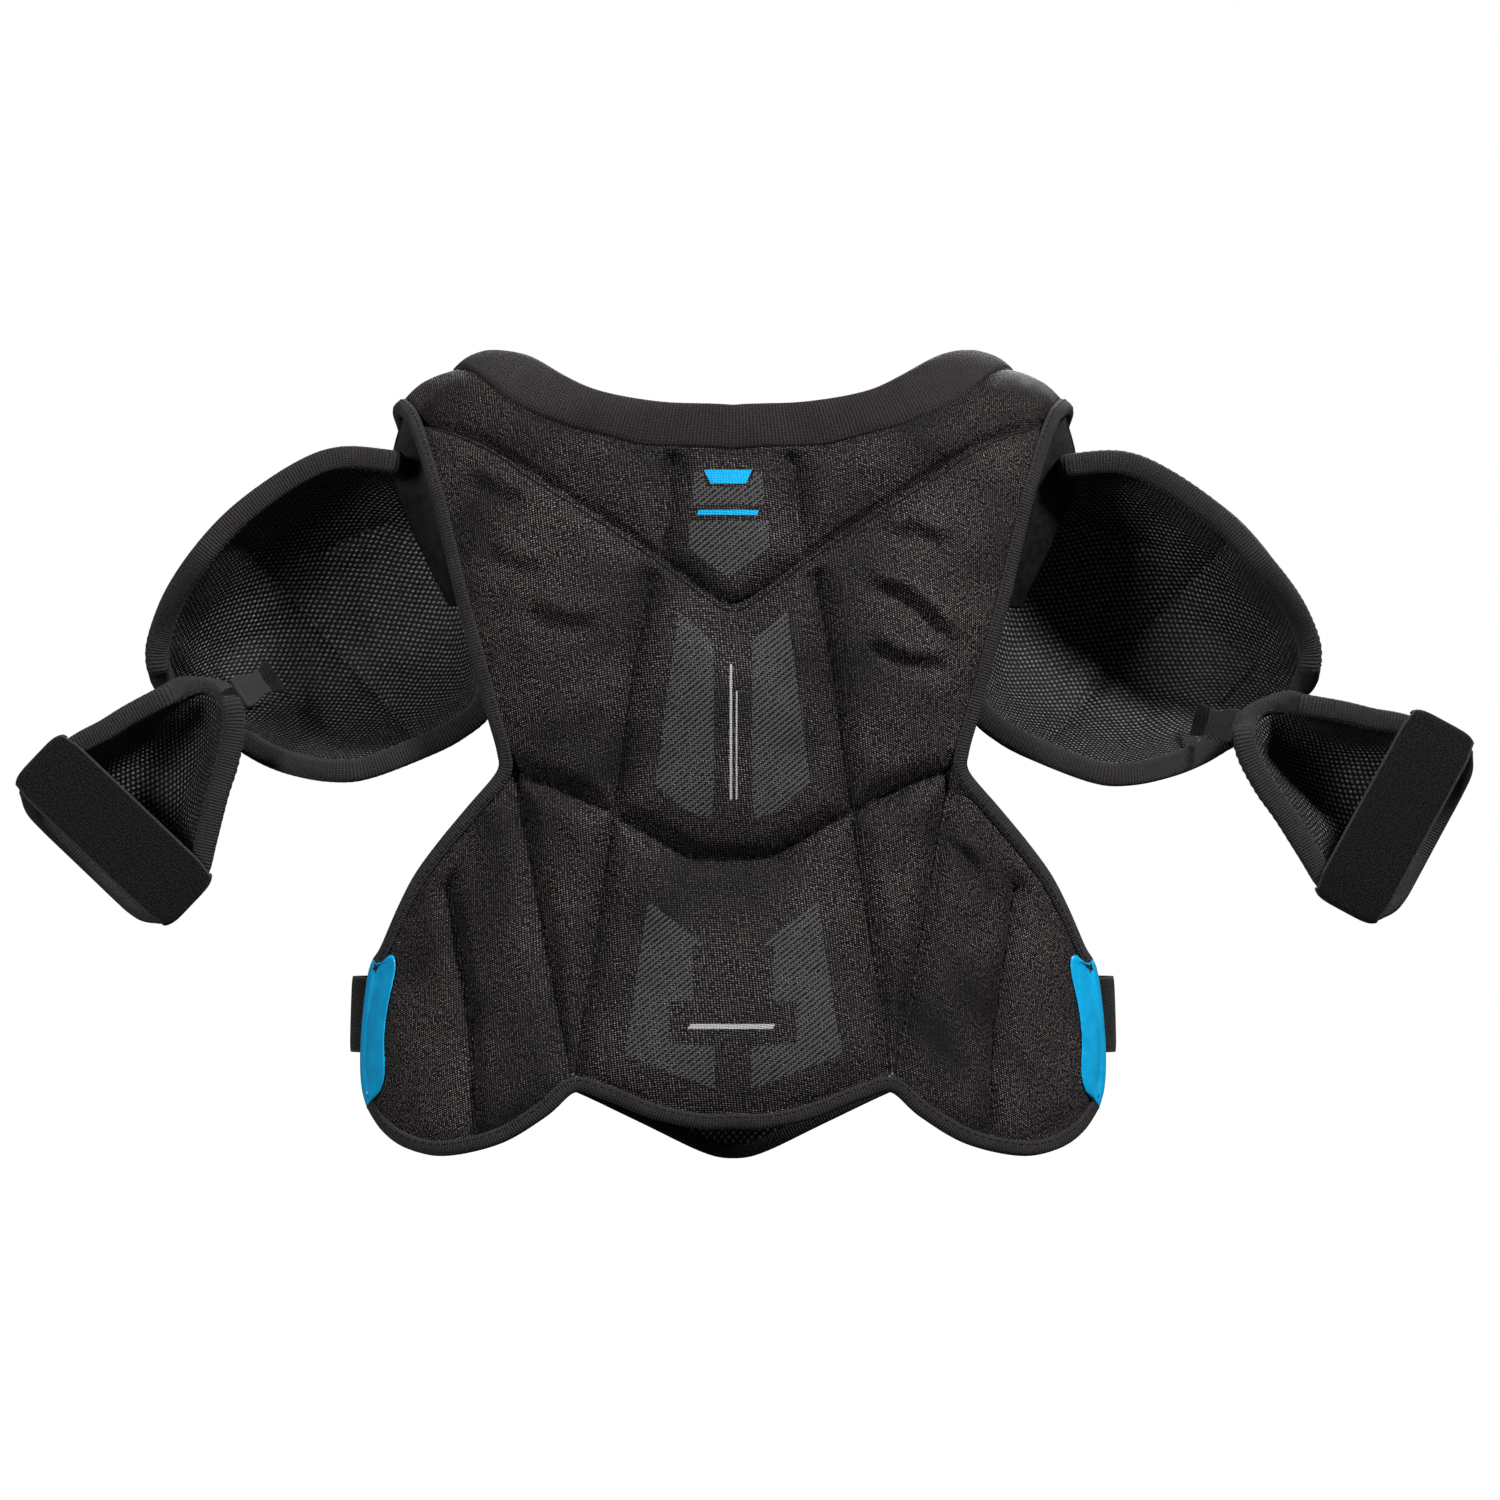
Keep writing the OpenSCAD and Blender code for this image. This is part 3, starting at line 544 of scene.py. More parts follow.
class Recipe:
    """A node material with a few short ways to add nodes."""

    def __init__(self, name, roughness, specular=0.3, sheen=0.0, coat=0.0):
        self.mat = bpy.data.materials.new(name)
        self.mat.use_nodes = True
        self.tree = self.mat.node_tree
        self.shader = self.tree.nodes["Principled BSDF"]
        self.shader.inputs["Roughness"].default_value = roughness
        self.shader.inputs["Specular IOR Level"].default_value = specular
        self.shader.inputs["Sheen Weight"].default_value = sheen
        self.shader.inputs["Sheen Roughness"].default_value = 0.45
        self.shader.inputs["Coat Weight"].default_value = coat

    def put(self, socket, value):
        if isinstance(value, bpy.types.NodeSocket):
            self.tree.links.new(value, socket)
        elif value is not None:
            socket.default_value = value

    def math(self, operation, a, b=None, c=None):
        node = self.tree.nodes.new("ShaderNodeMath")
        node.operation = operation
        for socket, value in zip(node.inputs, (a, b, c)):
            self.put(socket, value)
        return node.outputs[0]

    def uv(self, layer="cloth"):
        node = self.tree.nodes.new("ShaderNodeUVMap")
        node.uv_map = layer
        parts = self.tree.nodes.new("ShaderNodeSeparateXYZ")
        self.tree.links.new(node.outputs[0], parts.inputs[0])
        return node.outputs[0], parts.outputs[0], parts.outputs[1]

    def object_place(self):
        return self.tree.nodes.new("ShaderNodeTexCoord").outputs["Object"]

    def wave(self, coordinate, pitch, shift=0.0):
        """1 and -1 by turns, once per pitch."""
        return self.math("SINE", self.math("MULTIPLY_ADD", coordinate, 2 * math.pi / pitch, shift))

    def noise(self, place, scale, detail=2.0, low=0.35, high=0.65):
        node = self.tree.nodes.new("ShaderNodeTexNoise")
        self.put(node.inputs["Vector"], place)
        node.inputs["Scale"].default_value = scale
        node.inputs["Detail"].default_value = detail
        return self.spread(node.outputs[0], low, high)

    def spread(self, value, low, high, start=0.0, end=1.0):
        node = self.tree.nodes.new("ShaderNodeMapRange")
        self.put(node.inputs[0], value)
        for socket, number in zip(list(node.inputs)[1:5], (low, high, start, end)):
            socket.default_value = number
        return node.outputs[0]

    def mix(self, share, a, b):
        node = self.tree.nodes.new("ShaderNodeMix")
        node.data_type = "RGBA"
        self.put(node.inputs[0], share)
        for socket, value in ((node.inputs[6], a), (node.inputs[7], b)):
            self.put(socket, (*value, 1) if isinstance(value, tuple) else value)
        return node.outputs[2]

    def bump(self, height, depth, under=None):
        """Bumps as deep as depth, in millimetres."""
        node = self.tree.nodes.new("ShaderNodeBump")
        node.inputs["Strength"].default_value = 1.0
        node.inputs["Distance"].default_value = depth * MM
        self.put(node.inputs["Height"], height)
        self.put(node.inputs["Normal"], under)
        return node.outputs[0]

    def done(self, colour, roughness=None, normal=None):
        self.put(self.shader.inputs["Base Color"], colour)
        self.put(self.shader.inputs["Roughness"], roughness)
        self.put(self.shader.inputs["Normal"], normal)
        return self.mat

    def inside(self, x, z, corners):
        """1 inside a convex outline given clockwise, 0 outside."""
        worst = None
        for (ax, az), (bx, bz) in zip(corners, corners[1:] + corners[:1]):
            size = math.hypot(bx - ax, bz - az)
            nx, nz = -(bz - az) / size, (bx - ax) / size
            part = self.math("MULTIPLY_ADD", x, nx, -(ax * nx + az * nz))
            part = self.math("MULTIPLY_ADD", z, nz, part)
            worst = part if worst is None else self.math("MAXIMUM", worst, part)
        return self.math("LESS_THAN", worst, 0.0)


CLOTH_DARK = (0.0022, 0.0018, 0.0018)
CLOTH_LIT = (0.0085, 0.0072, 0.0071)
# Colour of the painted glints and painted sheen on the shell fabric.
GLINT_FLECK = (0.56, 0.48, 0.46)
PRINT_GREY = (0.075, 0.078, 0.085)
BLUE = (0.004, 0.4, 0.78)
DOT_PITCH = 3.0


def fabric_base(r):
    """The quilted shell fabric: a fine twill with pale specks painted as glints of light, gathered in broad
    painted sheen patches. Returns its colour, roughness and normal.
    """
    vector, u, v = r.uv()
    weave = r.math("MULTIPLY", r.wave(r.math("ADD", u, v), 2.5), r.wave(r.math("SUBTRACT", u, v), 2.1))
    knots = r.spread(weave, 0.15, 0.95)
    grain = r.noise(vector, 1.3, 2.0, 0.35, 0.7)
    patchy = r.noise(vector, 0.035, 3.0)
    # Painted glints: pale specks on the weave's knots, where light would catch.
    glint = r.math("MULTIPLY", knots, r.noise(vector, 0.85, 2.0, 0.40, 0.72))
    colour = r.mix(grain, CLOTH_DARK, CLOTH_LIT)
    colour = r.mix(r.math("MULTIPLY", patchy, 0.4), colour, CLOTH_DARK)
    # A slow noise gathers the painted glints into broad painted sheen patches.
    glint = r.math("MULTIPLY", glint, r.noise(vector, 0.016, 2.0, 0.25, 0.6))
    colour = r.mix(glint, colour, GLINT_FLECK)
    height = r.math("ADD", weave, r.math("MULTIPLY", grain, 0.6))
    normal = r.bump(height, 0.16)
    roughness = r.spread(glint, 0.0, 1.0, 0.6, 0.35)
    return colour, roughness, normal


def cover_fabric():
    r = Recipe("cover_fabric", 0.6, 0.14, 0.02)
    return r.done(*fabric_base(r))


# Prints on the back panel, as seen from straight behind: clockwise outlines, and half of each mirrored pair.
NECK_PRINT_X = -2.5
NECK_BLOCK = [(-17, -51.5), (17, -51.5), (18, -68), (-17.5, -68)]
NECK_SHIELD = [(-19.5, -76), (20.5, -76), (20.5, -89.5), (0, -104), (-19.5, -89.5)]
NECK_TAB = [(-12, -50.5), (12, -50.5), (9, -57.5), (-8.7, -57.5)]
NECK_TAB_GAP = [(-14, -49), (14, -49), (10.4, -59.2), (-10.2, -59.2)]
NECK_BAR = [(-14.5, -70.7), (15.5, -70.7), (14.5, -73.2), (-15.5, -73.2)]
SPINE_BLOCK = [(27, -121), (38.5, -206.5), (23, -220), (10.5, -223.5), (9.5, -210), (9.5, -136)]
LUMBAR_BLOCKS = [
    [(42, -265), (45.5, -287.5), (14, -287.5)],
    [(20, -287.5), (45.5, -287.5), (49.8, -315), (20, -315)],
    [(31.5, -315), (49.8, -315), (53, -336), (31.5, -336)],
    [(9, -338), (31.5, -336), (53, -336), (54, -342), (9, -359)],
]
CENTRE_LINES = [
    [(-1.6, -147), (-0.4, -147), (-0.4, -214), (-1.6, -214)],
    [(1.4, -160), (2.2, -160), (2.2, -214), (1.4, -214)],
    [(-21, -326.5), (21, -326.5), (19.5, -329), (-22.5, -329)],
]


def printed_fabric():
    """The back's fabric with its generic striped prints, two blue marks and thin pale lines."""
    r = Recipe("printed_fabric", 0.6, 0.14, 0.02)
    colour, roughness, normal = fabric_base(r)
    _, x, z = r.uv("print")
    neck_x = r.math("SUBTRACT", x, NECK_PRINT_X)
    side_x = r.math("ABSOLUTE", x)
    stripe = r.wave(r.math("MULTIPLY_ADD", x, -0.62, r.math("MULTIPLY", z, 0.78)), 2.3)
    stripe = r.spread(stripe, -0.25, 0.25)
    blocks = r.math("SUBTRACT", r.inside(neck_x, z, NECK_BLOCK), r.inside(neck_x, z, NECK_TAB_GAP))
    blocks = r.math("MAXIMUM", blocks, r.inside(neck_x, z, NECK_SHIELD))
    for corners in [SPINE_BLOCK] + LUMBAR_BLOCKS:
        blocks = r.math("MAXIMUM", blocks, r.inside(side_x, z, corners))
    worn = r.noise(r.uv("print")[0], 0.9, 2.0, 0.2, 0.5)
    share = r.math("MULTIPLY", r.math("MULTIPLY", blocks, stripe), r.spread(worn, 0.0, 1.0, 0.65, 1.0))
    colour = r.mix(share, colour, PRINT_GREY)
    pale = None
    for corners in CENTRE_LINES:
        one = r.inside(x, z, corners)
        pale = one if pale is None else r.math("MAXIMUM", pale, one)
    colour = r.mix(r.math("MULTIPLY", pale, 0.9), colour, (0.5, 0.5, 0.5))
    marks = r.math("MAXIMUM", r.inside(neck_x, z, NECK_TAB), r.inside(neck_x, z, NECK_BAR))
    colour = r.mix(marks, colour, BLUE)
    return r.done(colour, r.mix(marks, roughness, (0.42, 0.42, 0.42)), normal)


def spacer_mesh():
    """The black lining: a knitted spacer mesh with glossy dots in staggered rows; the dots' pale tone and
    specks are painted gloss highlights.
    """
    r = Recipe("spacer_mesh", 0.35, 0.22)
    vector, u, v = r.uv()
    warp = r.noise(vector, 0.05, 2.0, 0.0, 1.0)
    u = r.math("MULTIPLY_ADD", warp, 1.5, u)
    dots = r.math("MULTIPLY", r.wave(u, DOT_PITCH), r.wave(v, DOT_PITCH * 1.45))
    knobs = r.spread(dots, 0.05, 0.75)
    grain = r.noise(vector, 0.7, 2.0, 0.4, 0.68)
    # The dots' pale colour is painted gloss: highlights of light on the knit's bumps.
    colour = r.mix(knobs, (0.0012, 0.0012, 0.0013), (0.085, 0.085, 0.09))
    # Paler specks on the dots: painted glints.
    colour = r.mix(r.math("MULTIPLY", grain, r.math("MULTIPLY", knobs, 0.8)), colour, (0.4, 0.4, 0.42))
    height = r.math("ADD", knobs, r.math("MULTIPLY", grain, 0.4))
    return r.done(colour, r.spread(knobs, 0.0, 1.0, 0.6, 0.27), r.bump(height, 0.5))


def ribbed(name, dark, light, pitch, depth):
    """Ribbed tape or knit: fine ribs across its length."""
    r = Recipe(name, 0.7, 0.2, 0.08)
    vector, u, v = r.uv()
    rib = r.wave(u, pitch)
    cross = r.wave(v, pitch * 0.8)
    fuzz = r.noise(vector, 1.4, 3.0)
    tone = r.math("MULTIPLY_ADD", rib, 0.3, r.math("MULTIPLY_ADD", fuzz, 0.5, 0.25))
    tone = r.math("MULTIPLY", tone, r.spread(r.noise(vector, 0.05, 2.0), 0, 1, 0.75, 1.1))
    height = r.math("ADD", rib, r.math("MULTIPLY_ADD", cross, 0.25, fuzz))
    return r.done(r.mix(tone, dark, light), None, r.bump(height, depth))


def elastic_fabric():
    """Brushed loop elastic: matt pile over faint ribs along the strap, with firm selvedges."""
    r = Recipe("elastic", 0.85, 0.1, 0.08)
    vector, _, v = r.uv()
    pile = r.noise(vector, 1.1, 4.0, 0.4, 0.68)
    rib = r.wave(v, 1.6)
    edge = r.spread(r.math("ABSOLUTE", v), 17.6, 18.0)
    colour = r.mix(pile, (0.0015, 0.0015, 0.0016), (0.02, 0.02, 0.02))
    colour = r.mix(r.math("MULTIPLY", edge, 0.7), colour, (0.06, 0.058, 0.056))
    height = r.math("ADD", pile, r.math("MULTIPLY_ADD", rib, 0.12, r.math("MULTIPLY", edge, 0.5)))
    return r.done(colour, None, r.bump(height, 0.4))


def thread(name, tone):
    r = Recipe(name, 0.6, 0.12, 0.05)
    twist = r.noise(r.object_place(), 2500, 1.0)
    return r.done(r.mix(twist, tuple(0.5 * c for c in tone), tone), None, r.bump(twist, 0.05))


def smooth_skin(name, dark, light, roughness, scale, depth, coat=0.0):
    """Film, neoprene, foam or moulded plastic: a mottled skin with a fine grain."""
    r = Recipe(name, roughness, 0.25, 0.0, coat)
    place = r.object_place()
    mottle = r.noise(place, scale * 0.15, 3.0)
    grain = r.noise(place, scale, 2.0)
    rough = r.spread(grain, 0, 1, roughness - 0.07, roughness + 0.07)
    return r.done(r.mix(mottle, dark, light), rough, r.bump(grain, depth))


cover_mat = cover_fabric()
print_mat = printed_fabric()
mesh_mat = spacer_mesh()
tape_mat = ribbed("binding_tape", (0.009, 0.0078, 0.0078), (0.052, 0.046, 0.045), 1.5, 0.3)
collar_mat = ribbed("collar_knit", (0.008, 0.0063, 0.0066), (0.054, 0.043, 0.045), 1.7, 0.35)
elastic_mat = elastic_fabric()
dark_thread = thread("dark_thread", (0.02, 0.019, 0.018))
seam_thread = thread("seam_thread", (0.006, 0.0053, 0.0052))
pale_thread = thread("pale_thread", (0.11, 0.105, 0.1))
film_mat = smooth_skin("blue_film", (0.004, 0.39, 0.76), (0.006, 0.47, 0.88), 0.36, 900, 0.03, 0.3)
neoprene_mat = smooth_skin("neoprene", (0.004, 0.004, 0.0045), (0.013, 0.0125, 0.013), 0.5, 1500, 0.06)
foam_mat = smooth_skin("foam", (0.62, 0.61, 0.58), (0.75, 0.74, 0.7), 0.9, 1800, 0.2)
plastic_mat = smooth_skin("insert_plastic", (0.55, 0.56, 0.57), (0.7, 0.71, 0.72), 0.4, 700, 0.04)
pile_mat = smooth_skin("loop_pile", (0.004, 0.004, 0.0045), (0.022, 0.021, 0.022), 0.92, 1300, 0.5)

# ---- Padding between the seams ----

SIM_FRAMES, PRESSURE, STIFFNESS, BENDING = 20, 4.0, 15, 0.4
PANEL_PUFF, PANEL_GROW, PANEL_REACH, PANEL_SLACK = 6.5, 0.012, 8.0, 0.5
GROOVE_DEPTH, GROOVE_W, PUCKER = 2.6, 1.6, 0.35
PANEL_LAYERS = 3.9


def swell(start, out, held, grow):
    """Blender's Cloth on an open sheet: pressure under fabric that is cut a little larger than its place."""
    faces = grid_quads(*start.shape[:2])
    if (normals(start) * out).sum() < 0:
        faces = faces[:, ::-1]
    mesh = bpy.data.meshes.new("sheet")
    mesh.from_pydata((start.reshape(-1, 3) * MM).tolist(), [], faces.tolist())
    obj = link(bpy.data.objects.new("sheet", mesh))
    group = obj.vertex_groups.new(name="held")
    group.add([int(i) for i in np.nonzero(held.ravel())[0]], 1.0, "REPLACE")
    cloth = obj.modifiers.new("cloth", "CLOTH")
    s = cloth.settings
    s.quality = 5
    s.tension_stiffness = s.compression_stiffness = STIFFNESS
    s.bending_stiffness = BENDING
    s.use_pressure = True
    s.uniform_pressure_force = PRESSURE
    s.vertex_group_mass = "held"
    s.shrink_min = -grow
    s.effector_weights.gravity = 0
    cloth.collision_settings.use_collision = False
    cloth.collision_settings.use_self_collision = False
    cloth.point_cache.frame_start = 1
    cloth.point_cache.frame_end = SIM_FRAMES
    scene = bpy.context.scene
    for f in range(1, SIM_FRAMES + 1):
        scene.frame_set(f)
    shown = obj.evaluated_get(bpy.context.evaluated_depsgraph_get())
    points = np.empty(len(mesh.vertices) * 3)
    shown.data.vertices.foreach_get("co", points)
    bpy.data.objects.remove(obj)
    scene.frame_set(1)
    return points.reshape(start.shape) / MM


def ripples(q, size, shortest, longest, count=9):
    """Smooth uneven slack over a panel: a sum of seeded waves."""
    total = np.zeros(q.shape[:2])
    for _ in range(count):
        angle, phase = rng.uniform(0, 2 * math.pi, 2)
        pitch = rng.uniform(shortest, longest)
        run = q[..., 0] * math.cos(angle) + q[..., 1] * math.sin(angle)
        total += np.sin(2 * math.pi * run / pitch + phase)
    return size * total / math.sqrt(count)


def joined(lines):
    return np.concatenate([np.asarray(c, float) for c in lines])


def calmed(shift, out, gap):
    """The cloth's movement without its smallest crumples: mostly outwards, and none at the seams."""
    outwards = (shift * out).sum(-1, keepdims=True) * out
    shift = outwards + 0.3 * (shift - outwards)
    for _ in range(5):
        around = shift[:-2, 1:-1] + shift[2:, 1:-1] + shift[1:-1, :-2] + shift[1:-1, 2:]
        shift[1:-1, 1:-1] = (2 * shift[1:-1, 1:-1] + around) / 6
    return shift * smooth(gap / 3)[..., None]


def inflated(base, out, rise, sink, at_start, free, grow, gap, reach):
    """The sheet over base. The cloth starts at a share of the rise, and moves on by less than reach."""
    start = base + out * (at_start * rise - sink)[..., None]
    shift = calmed(swell(start, out, ~free, grow) - start, out, gap)
    size = np.linalg.norm(shift, axis=-1, keepdims=True)
    return start + shift * reach * np.tanh(size / reach) / np.maximum(size, 1e-6)


def cushion(q, base, out, holds, quiet):
    """The swelled surface over base. holds are lines (points, half width held down, how deep)."""
    sink = np.zeros(q.shape[:2])
    free = np.ones(q.shape[:2], bool)
    gap = np.full(q.shape[:2], 1e3)
    for points, width, depth in holds:
        d, _ = nearest(q, points)
        sink = np.maximum(sink, depth * (1 - smooth(d / 10)))
        free &= d > width
        gap = np.minimum(gap, np.maximum(0, d - width))
    sink = sink * quiet
    rise = PANEL_PUFF * (1 - np.exp(-gap / 11)) + ripples(q, PANEL_SLACK, 24, 70) * smooth(gap / 12)
    return inflated(base, out, rise, sink, 0.45, free, PANEL_GROW, gap, PANEL_REACH)


def stitched_in(co, q, out, seams, edge, quiet):
    """Sewn channels and the small gathers beside them and beside the binding."""
    d, k = nearest(q, joined(seams))
    along_seam = k * SEAM_STEP
    gather = np.sin(2 * math.pi * along_seam / 7.5 + 1.8 * np.sin(along_seam / 17))
    lift = PUCKER * gather * np.exp(-d / 7) * smooth(d / 2.5)
    lift = (lift - GROOVE_DEPTH * np.exp(-((d / GROOVE_W) ** 2))) * quiet
    d, k = nearest(q, edge)
    near = np.exp(-np.maximum(0, d - 4) / 8) * smooth((d - 3.6) / 3)
    lift += PUCKER * np.sin(2 * math.pi * lengths(edge)[k] / 8.5 + 1.5 * np.sin(k / 9.0)) * near
    return co + out * lift[..., None]


def creases(q, lines, way):
    """Folds where the fabric sags: each is (line seen from behind, height, half width)."""
    total = np.zeros(q.shape[:2])
    for line, height, width in lines:
        curve = flats(spline(line, 30), way)
        d, k = nearest(q, curve)
        share = k / (len(curve) - 1)
        ends = smooth(share / 0.25) * smooth((1 - share) / 0.25)
        below = np.sign(q[..., 1] - curve[k][..., 1])
        shape = np.exp(-((d / width) ** 2)) - 0.9 * np.exp(-(((d - 1.5 * width) / width) ** 2)) * (below > 0)
        total += height * shape * ends
    return total


def snapped(q, points, reach=2.0):
    """The grid with the points beside a seam moved onto it, never two neighbours to the same place."""
    d, k = nearest(q, points)
    close = d < reach
    close[0] = close[-1] = close[:, 0] = close[:, -1] = False
    onto = points[k]
    for a, b in ((np.s_[1:], np.s_[:-1]), (np.s_[:, 1:], np.s_[:, :-1])):
        room = np.linalg.norm(q[a] - q[b], axis=-1)
        crowded = close[a] & close[b] & (np.linalg.norm(onto[a] - onto[b], axis=-1) < 0.6 * room)
        first = d[a] <= d[b]
        close[b] &= ~(crowded & first)
        close[a] &= ~(crowded & ~first)
    return np.where(close[..., None], onto, q)


class Panel:
    """One padded panel: a closed body with the cover outside, the lining inside and sewn channels."""

    def __init__(self, name, q, way, seams, edge, others, body, mats, nodes, folds=()):
        curves = seam_curves(seams, way)
        points = joined(curves)
        out = -way * normals(form(q))
        q = snapped(q, points)
        self.base = form(q)
        quiet = np.ones(q.shape[:2])
        for pts, _, depth in others:
            if 0 < depth < 2:
                quiet *= smooth((nearest(q, pts)[0] - 0.5) / 6)
        holds = [(points, 0.5, 4.2), (edge, 3.7, 0)] + others
        co = cushion(q, self.base, out, holds, quiet)
        self.q = doubled(q)
        fine_base = doubled(self.base)
        self.out = unit(doubled(out))
        open_curves = curves + [pts for pts, _, depth in others if depth > 2]
        quiet = doubled(quiet[..., None])[..., 0]
        self.co = stitched_in(doubled(co), self.q, self.out, open_curves, edge, quiet)
        self.co = self.co + self.out * creases(self.q, folds, way)[..., None]
        self.curves = curves
        rim_d, _ = nearest(self.q, border(self.q))
        seam_d, _ = nearest(self.q, joined(open_curves))
        deep = PANEL_LAYERS + 12.6 * smooth(rim_d / 16)
        deep -= 5 * np.exp(-((seam_d / 8) ** 2)) * smooth(rim_d / 20)
        for pts, _, depth in others:
            deep += 1.2 * depth * (1 - smooth(nearest(self.q, pts)[0] / 10))
        inner_co = fine_base - self.out * deep[..., None]
        uv = self.q if way > 0 else self.q * [1, -1]
        obj = closed_grid(name, self.co, inner_co, body, mats, uv, fine_base[..., [0, 2]])
        declare(obj, "cover_fabric", 0.5, *nodes)

    def place(self, pts, lift=0.0):
        """Points and outward directions on the cover, at points of the form's own lengths."""
        flat = self.q.reshape(-1, 2)
        co, out = self.co.reshape(-1, 3), self.out.reshape(-1, 3)
        spots, ways = [], []
        for q in np.asarray(pts, float).reshape(-1, 2):
            d = ((flat - q) ** 2).sum(1)
            k = np.argpartition(d, 4)[:4]
            w = 1 / (d[k] + 0.05)
            w /= w.sum()
            ways.append(w @ out[k])
            spots.append(w @ co[k])
        ways = unit(np.array(ways))
        return np.array(spots) + lift * ways, ways


# Length, half width and half height of a stitch.
SEAM_STITCH, TAPE_STITCH = (3.1, 0.55, 0.3), (2.6, 0.45, 0.22)
SHELL_STITCH, COLLAR_STITCH = (2.4, 0.45, 0.35), (2.7, 0.55, 0.4)


def dashes(spots, ways, length, width, height):
    """One stitch at each spot of a row, as a small pointed loaf along the row."""
    tangent = unit(np.gradient(spots, axis=0))
    side = unit(np.cross(ways, tangent))
    rings = []
    for step, full in ((-0.5, 0.35), (-0.25, 1.0), (0.25, 1.0), (0.5, 0.35)):
        centre = spots + tangent * step * length
        for a, b in ((1, 0), (0, 1), (-1, 0), (0, -1)):
            rings.append(centre + side * a * width * full + ways * b * height * full)
    points = np.stack(rings, 1).reshape(-1, 3)
    one = [[4 * r + a, 4 * r + (a + 1) % 4, 4 * r + 4 + (a + 1) % 4, 4 * r + 4 + a]
           for r in range(3) for a in range(4)]
    one += [[3, 2, 1, 0], [12, 13, 14, 15]]
    faces = (np.array(one)[None] + 16 * np.arange(len(spots))[:, None, None]).reshape(-1, 4)
    return points, faces.tolist(), np.zeros((len(points), 2))


def seam_rows(panel):
    """Stitches along a panel's seams, lying in the channels."""
    return [dashes(*panel.place(stepped(curve, 3.9, 3)[1:-1], 0.3), *SEAM_STITCH) for curve in panel.curves]


# The binding's section as (past the edge, inwards), drawn for these layers and this reach past the edge.
TAPE = [[-3.7, -0.7], [-3.5, -1.7], [-1.5, -2.3], [0.6, -2.2], [2.6, -1.6], [3.8, -0.2], [4.1, 1.8],
        [3.8, 3.9], [2.6, 5.0], [0.4, 5.5], [-2.6, 5.4], [-3.4, 4.9], [-3.2, 4.3], [0.2, 4.3], [0.4, -0.4],
        [-3.2, -0.5]]
TAPE_LAYERS, TAPE_REACH, TAPE_PITCH = 3.8, 4.1, 4.1


def stitched_tape(name, node, frames, layers, closed, body, place=None, reach=TAPE_REACH, both=False):
    """A binding, and the rows of stitches on one or both of its faces."""
    if place is not None:
        origin = place(np.zeros((1, 3)))
        spots, outs, ins = split(frames)
        frames = list(zip(place(spots), place(outs) - origin, place(ins) - origin))
    section = np.array(TAPE)
    section[:, 0] *= np.where(section[:, 0] > 0, reach / TAPE_REACH, 1)
    section[:, 1] += np.where(section[:, 1] > 1, layers - TAPE_LAYERS, 0)
    points, faces, uv = swept(frames, section, closed)
    declare(make_mesh(name, points, faces, body, [tape_mat], uv), "binding_tape", 0.8, node)
    spots, outs, ins = split(frames)
    rows = []
    for depth, way in [(-2.35, -1), (layers + 1.6, 1)][:1 + both]:
        line = spots + outs * -1.9 + ins * depth
        n = max(3, int(lengths(line)[-1] / TAPE_PITCH))
        rows.append(dashes(resample(line, n), resample(ins * way, n), *TAPE_STITCH))
    return rows


def add_stitches(name, rows, body, mat):
    points, faces, uv = join_meshes(rows)
    make_mesh(name, points, faces, body, [mat], uv)


# ---- Back panel and yoke ----

SEAM_COLUMNS, SIDE_COLUMNS, YOKE_ROWS = 48, 16, 20
YOKE_N = SEAM_COLUMNS + SIDE_COLUMNS
seam_line = flats(YOKE_SEAM, 1)
rear_neck = along(np.concatenate([flats(BACK_NECK, 1), RIDGE_NECK]), YOKE_N)
rear_neck_low = along(np.concatenate([flats(BACK_NECK_LOW, 1), RIDGE_NECK_LOW]), YOKE_N)


def back_grid():
    seam = seam_line + [0, 0.6]
    side = np.concatenate([seam[-1:], flats(BACK_SIDE, 1)[1:]])
    return patch(whole(seam), side, whole(flats(BACK_HEM, 1)), mirrored(side), 104, 88)


def yoke_grid():
    seam = along(seam_line + [0, 0.2], SEAM_COLUMNS)
    shoulder = along(np.concatenate([seam_line[-1:], YOKE_SIDE]), SIDE_COLUMNS)
    low = np.concatenate([seam, shoulder[1:]])
    hinge = resample(np.array([rear_neck_low[-1], low[-1]]), YOKE_ROWS)
    return coons(whole(rear_neck_low), hinge, whole(low), mirrored(hinge))


BLADE_FOLDS = [
    ([(74, -79), (90, -75), (108, -84)], 3.6, 5.5),
    ([(64, -102), (84, -107), (102, -121), (112, -136)], 4.4, 5.2),
    ([(70, -131), (86, -140), (106, -141)], 3.2, 4.8),
    ([(-128, -47), (-112, -56), (-98, -63)], 2.6, 5.0),
    ([(-99, -112), (-84, -120), (-64, -121)], 2.6, 5.5),
    ([(-119, -84), (-106, -92), (-90, -95)], 2.2, 5.0),
    ([(112, -232), (124, -246), (128, -262)], 2.0, 4.5),
]

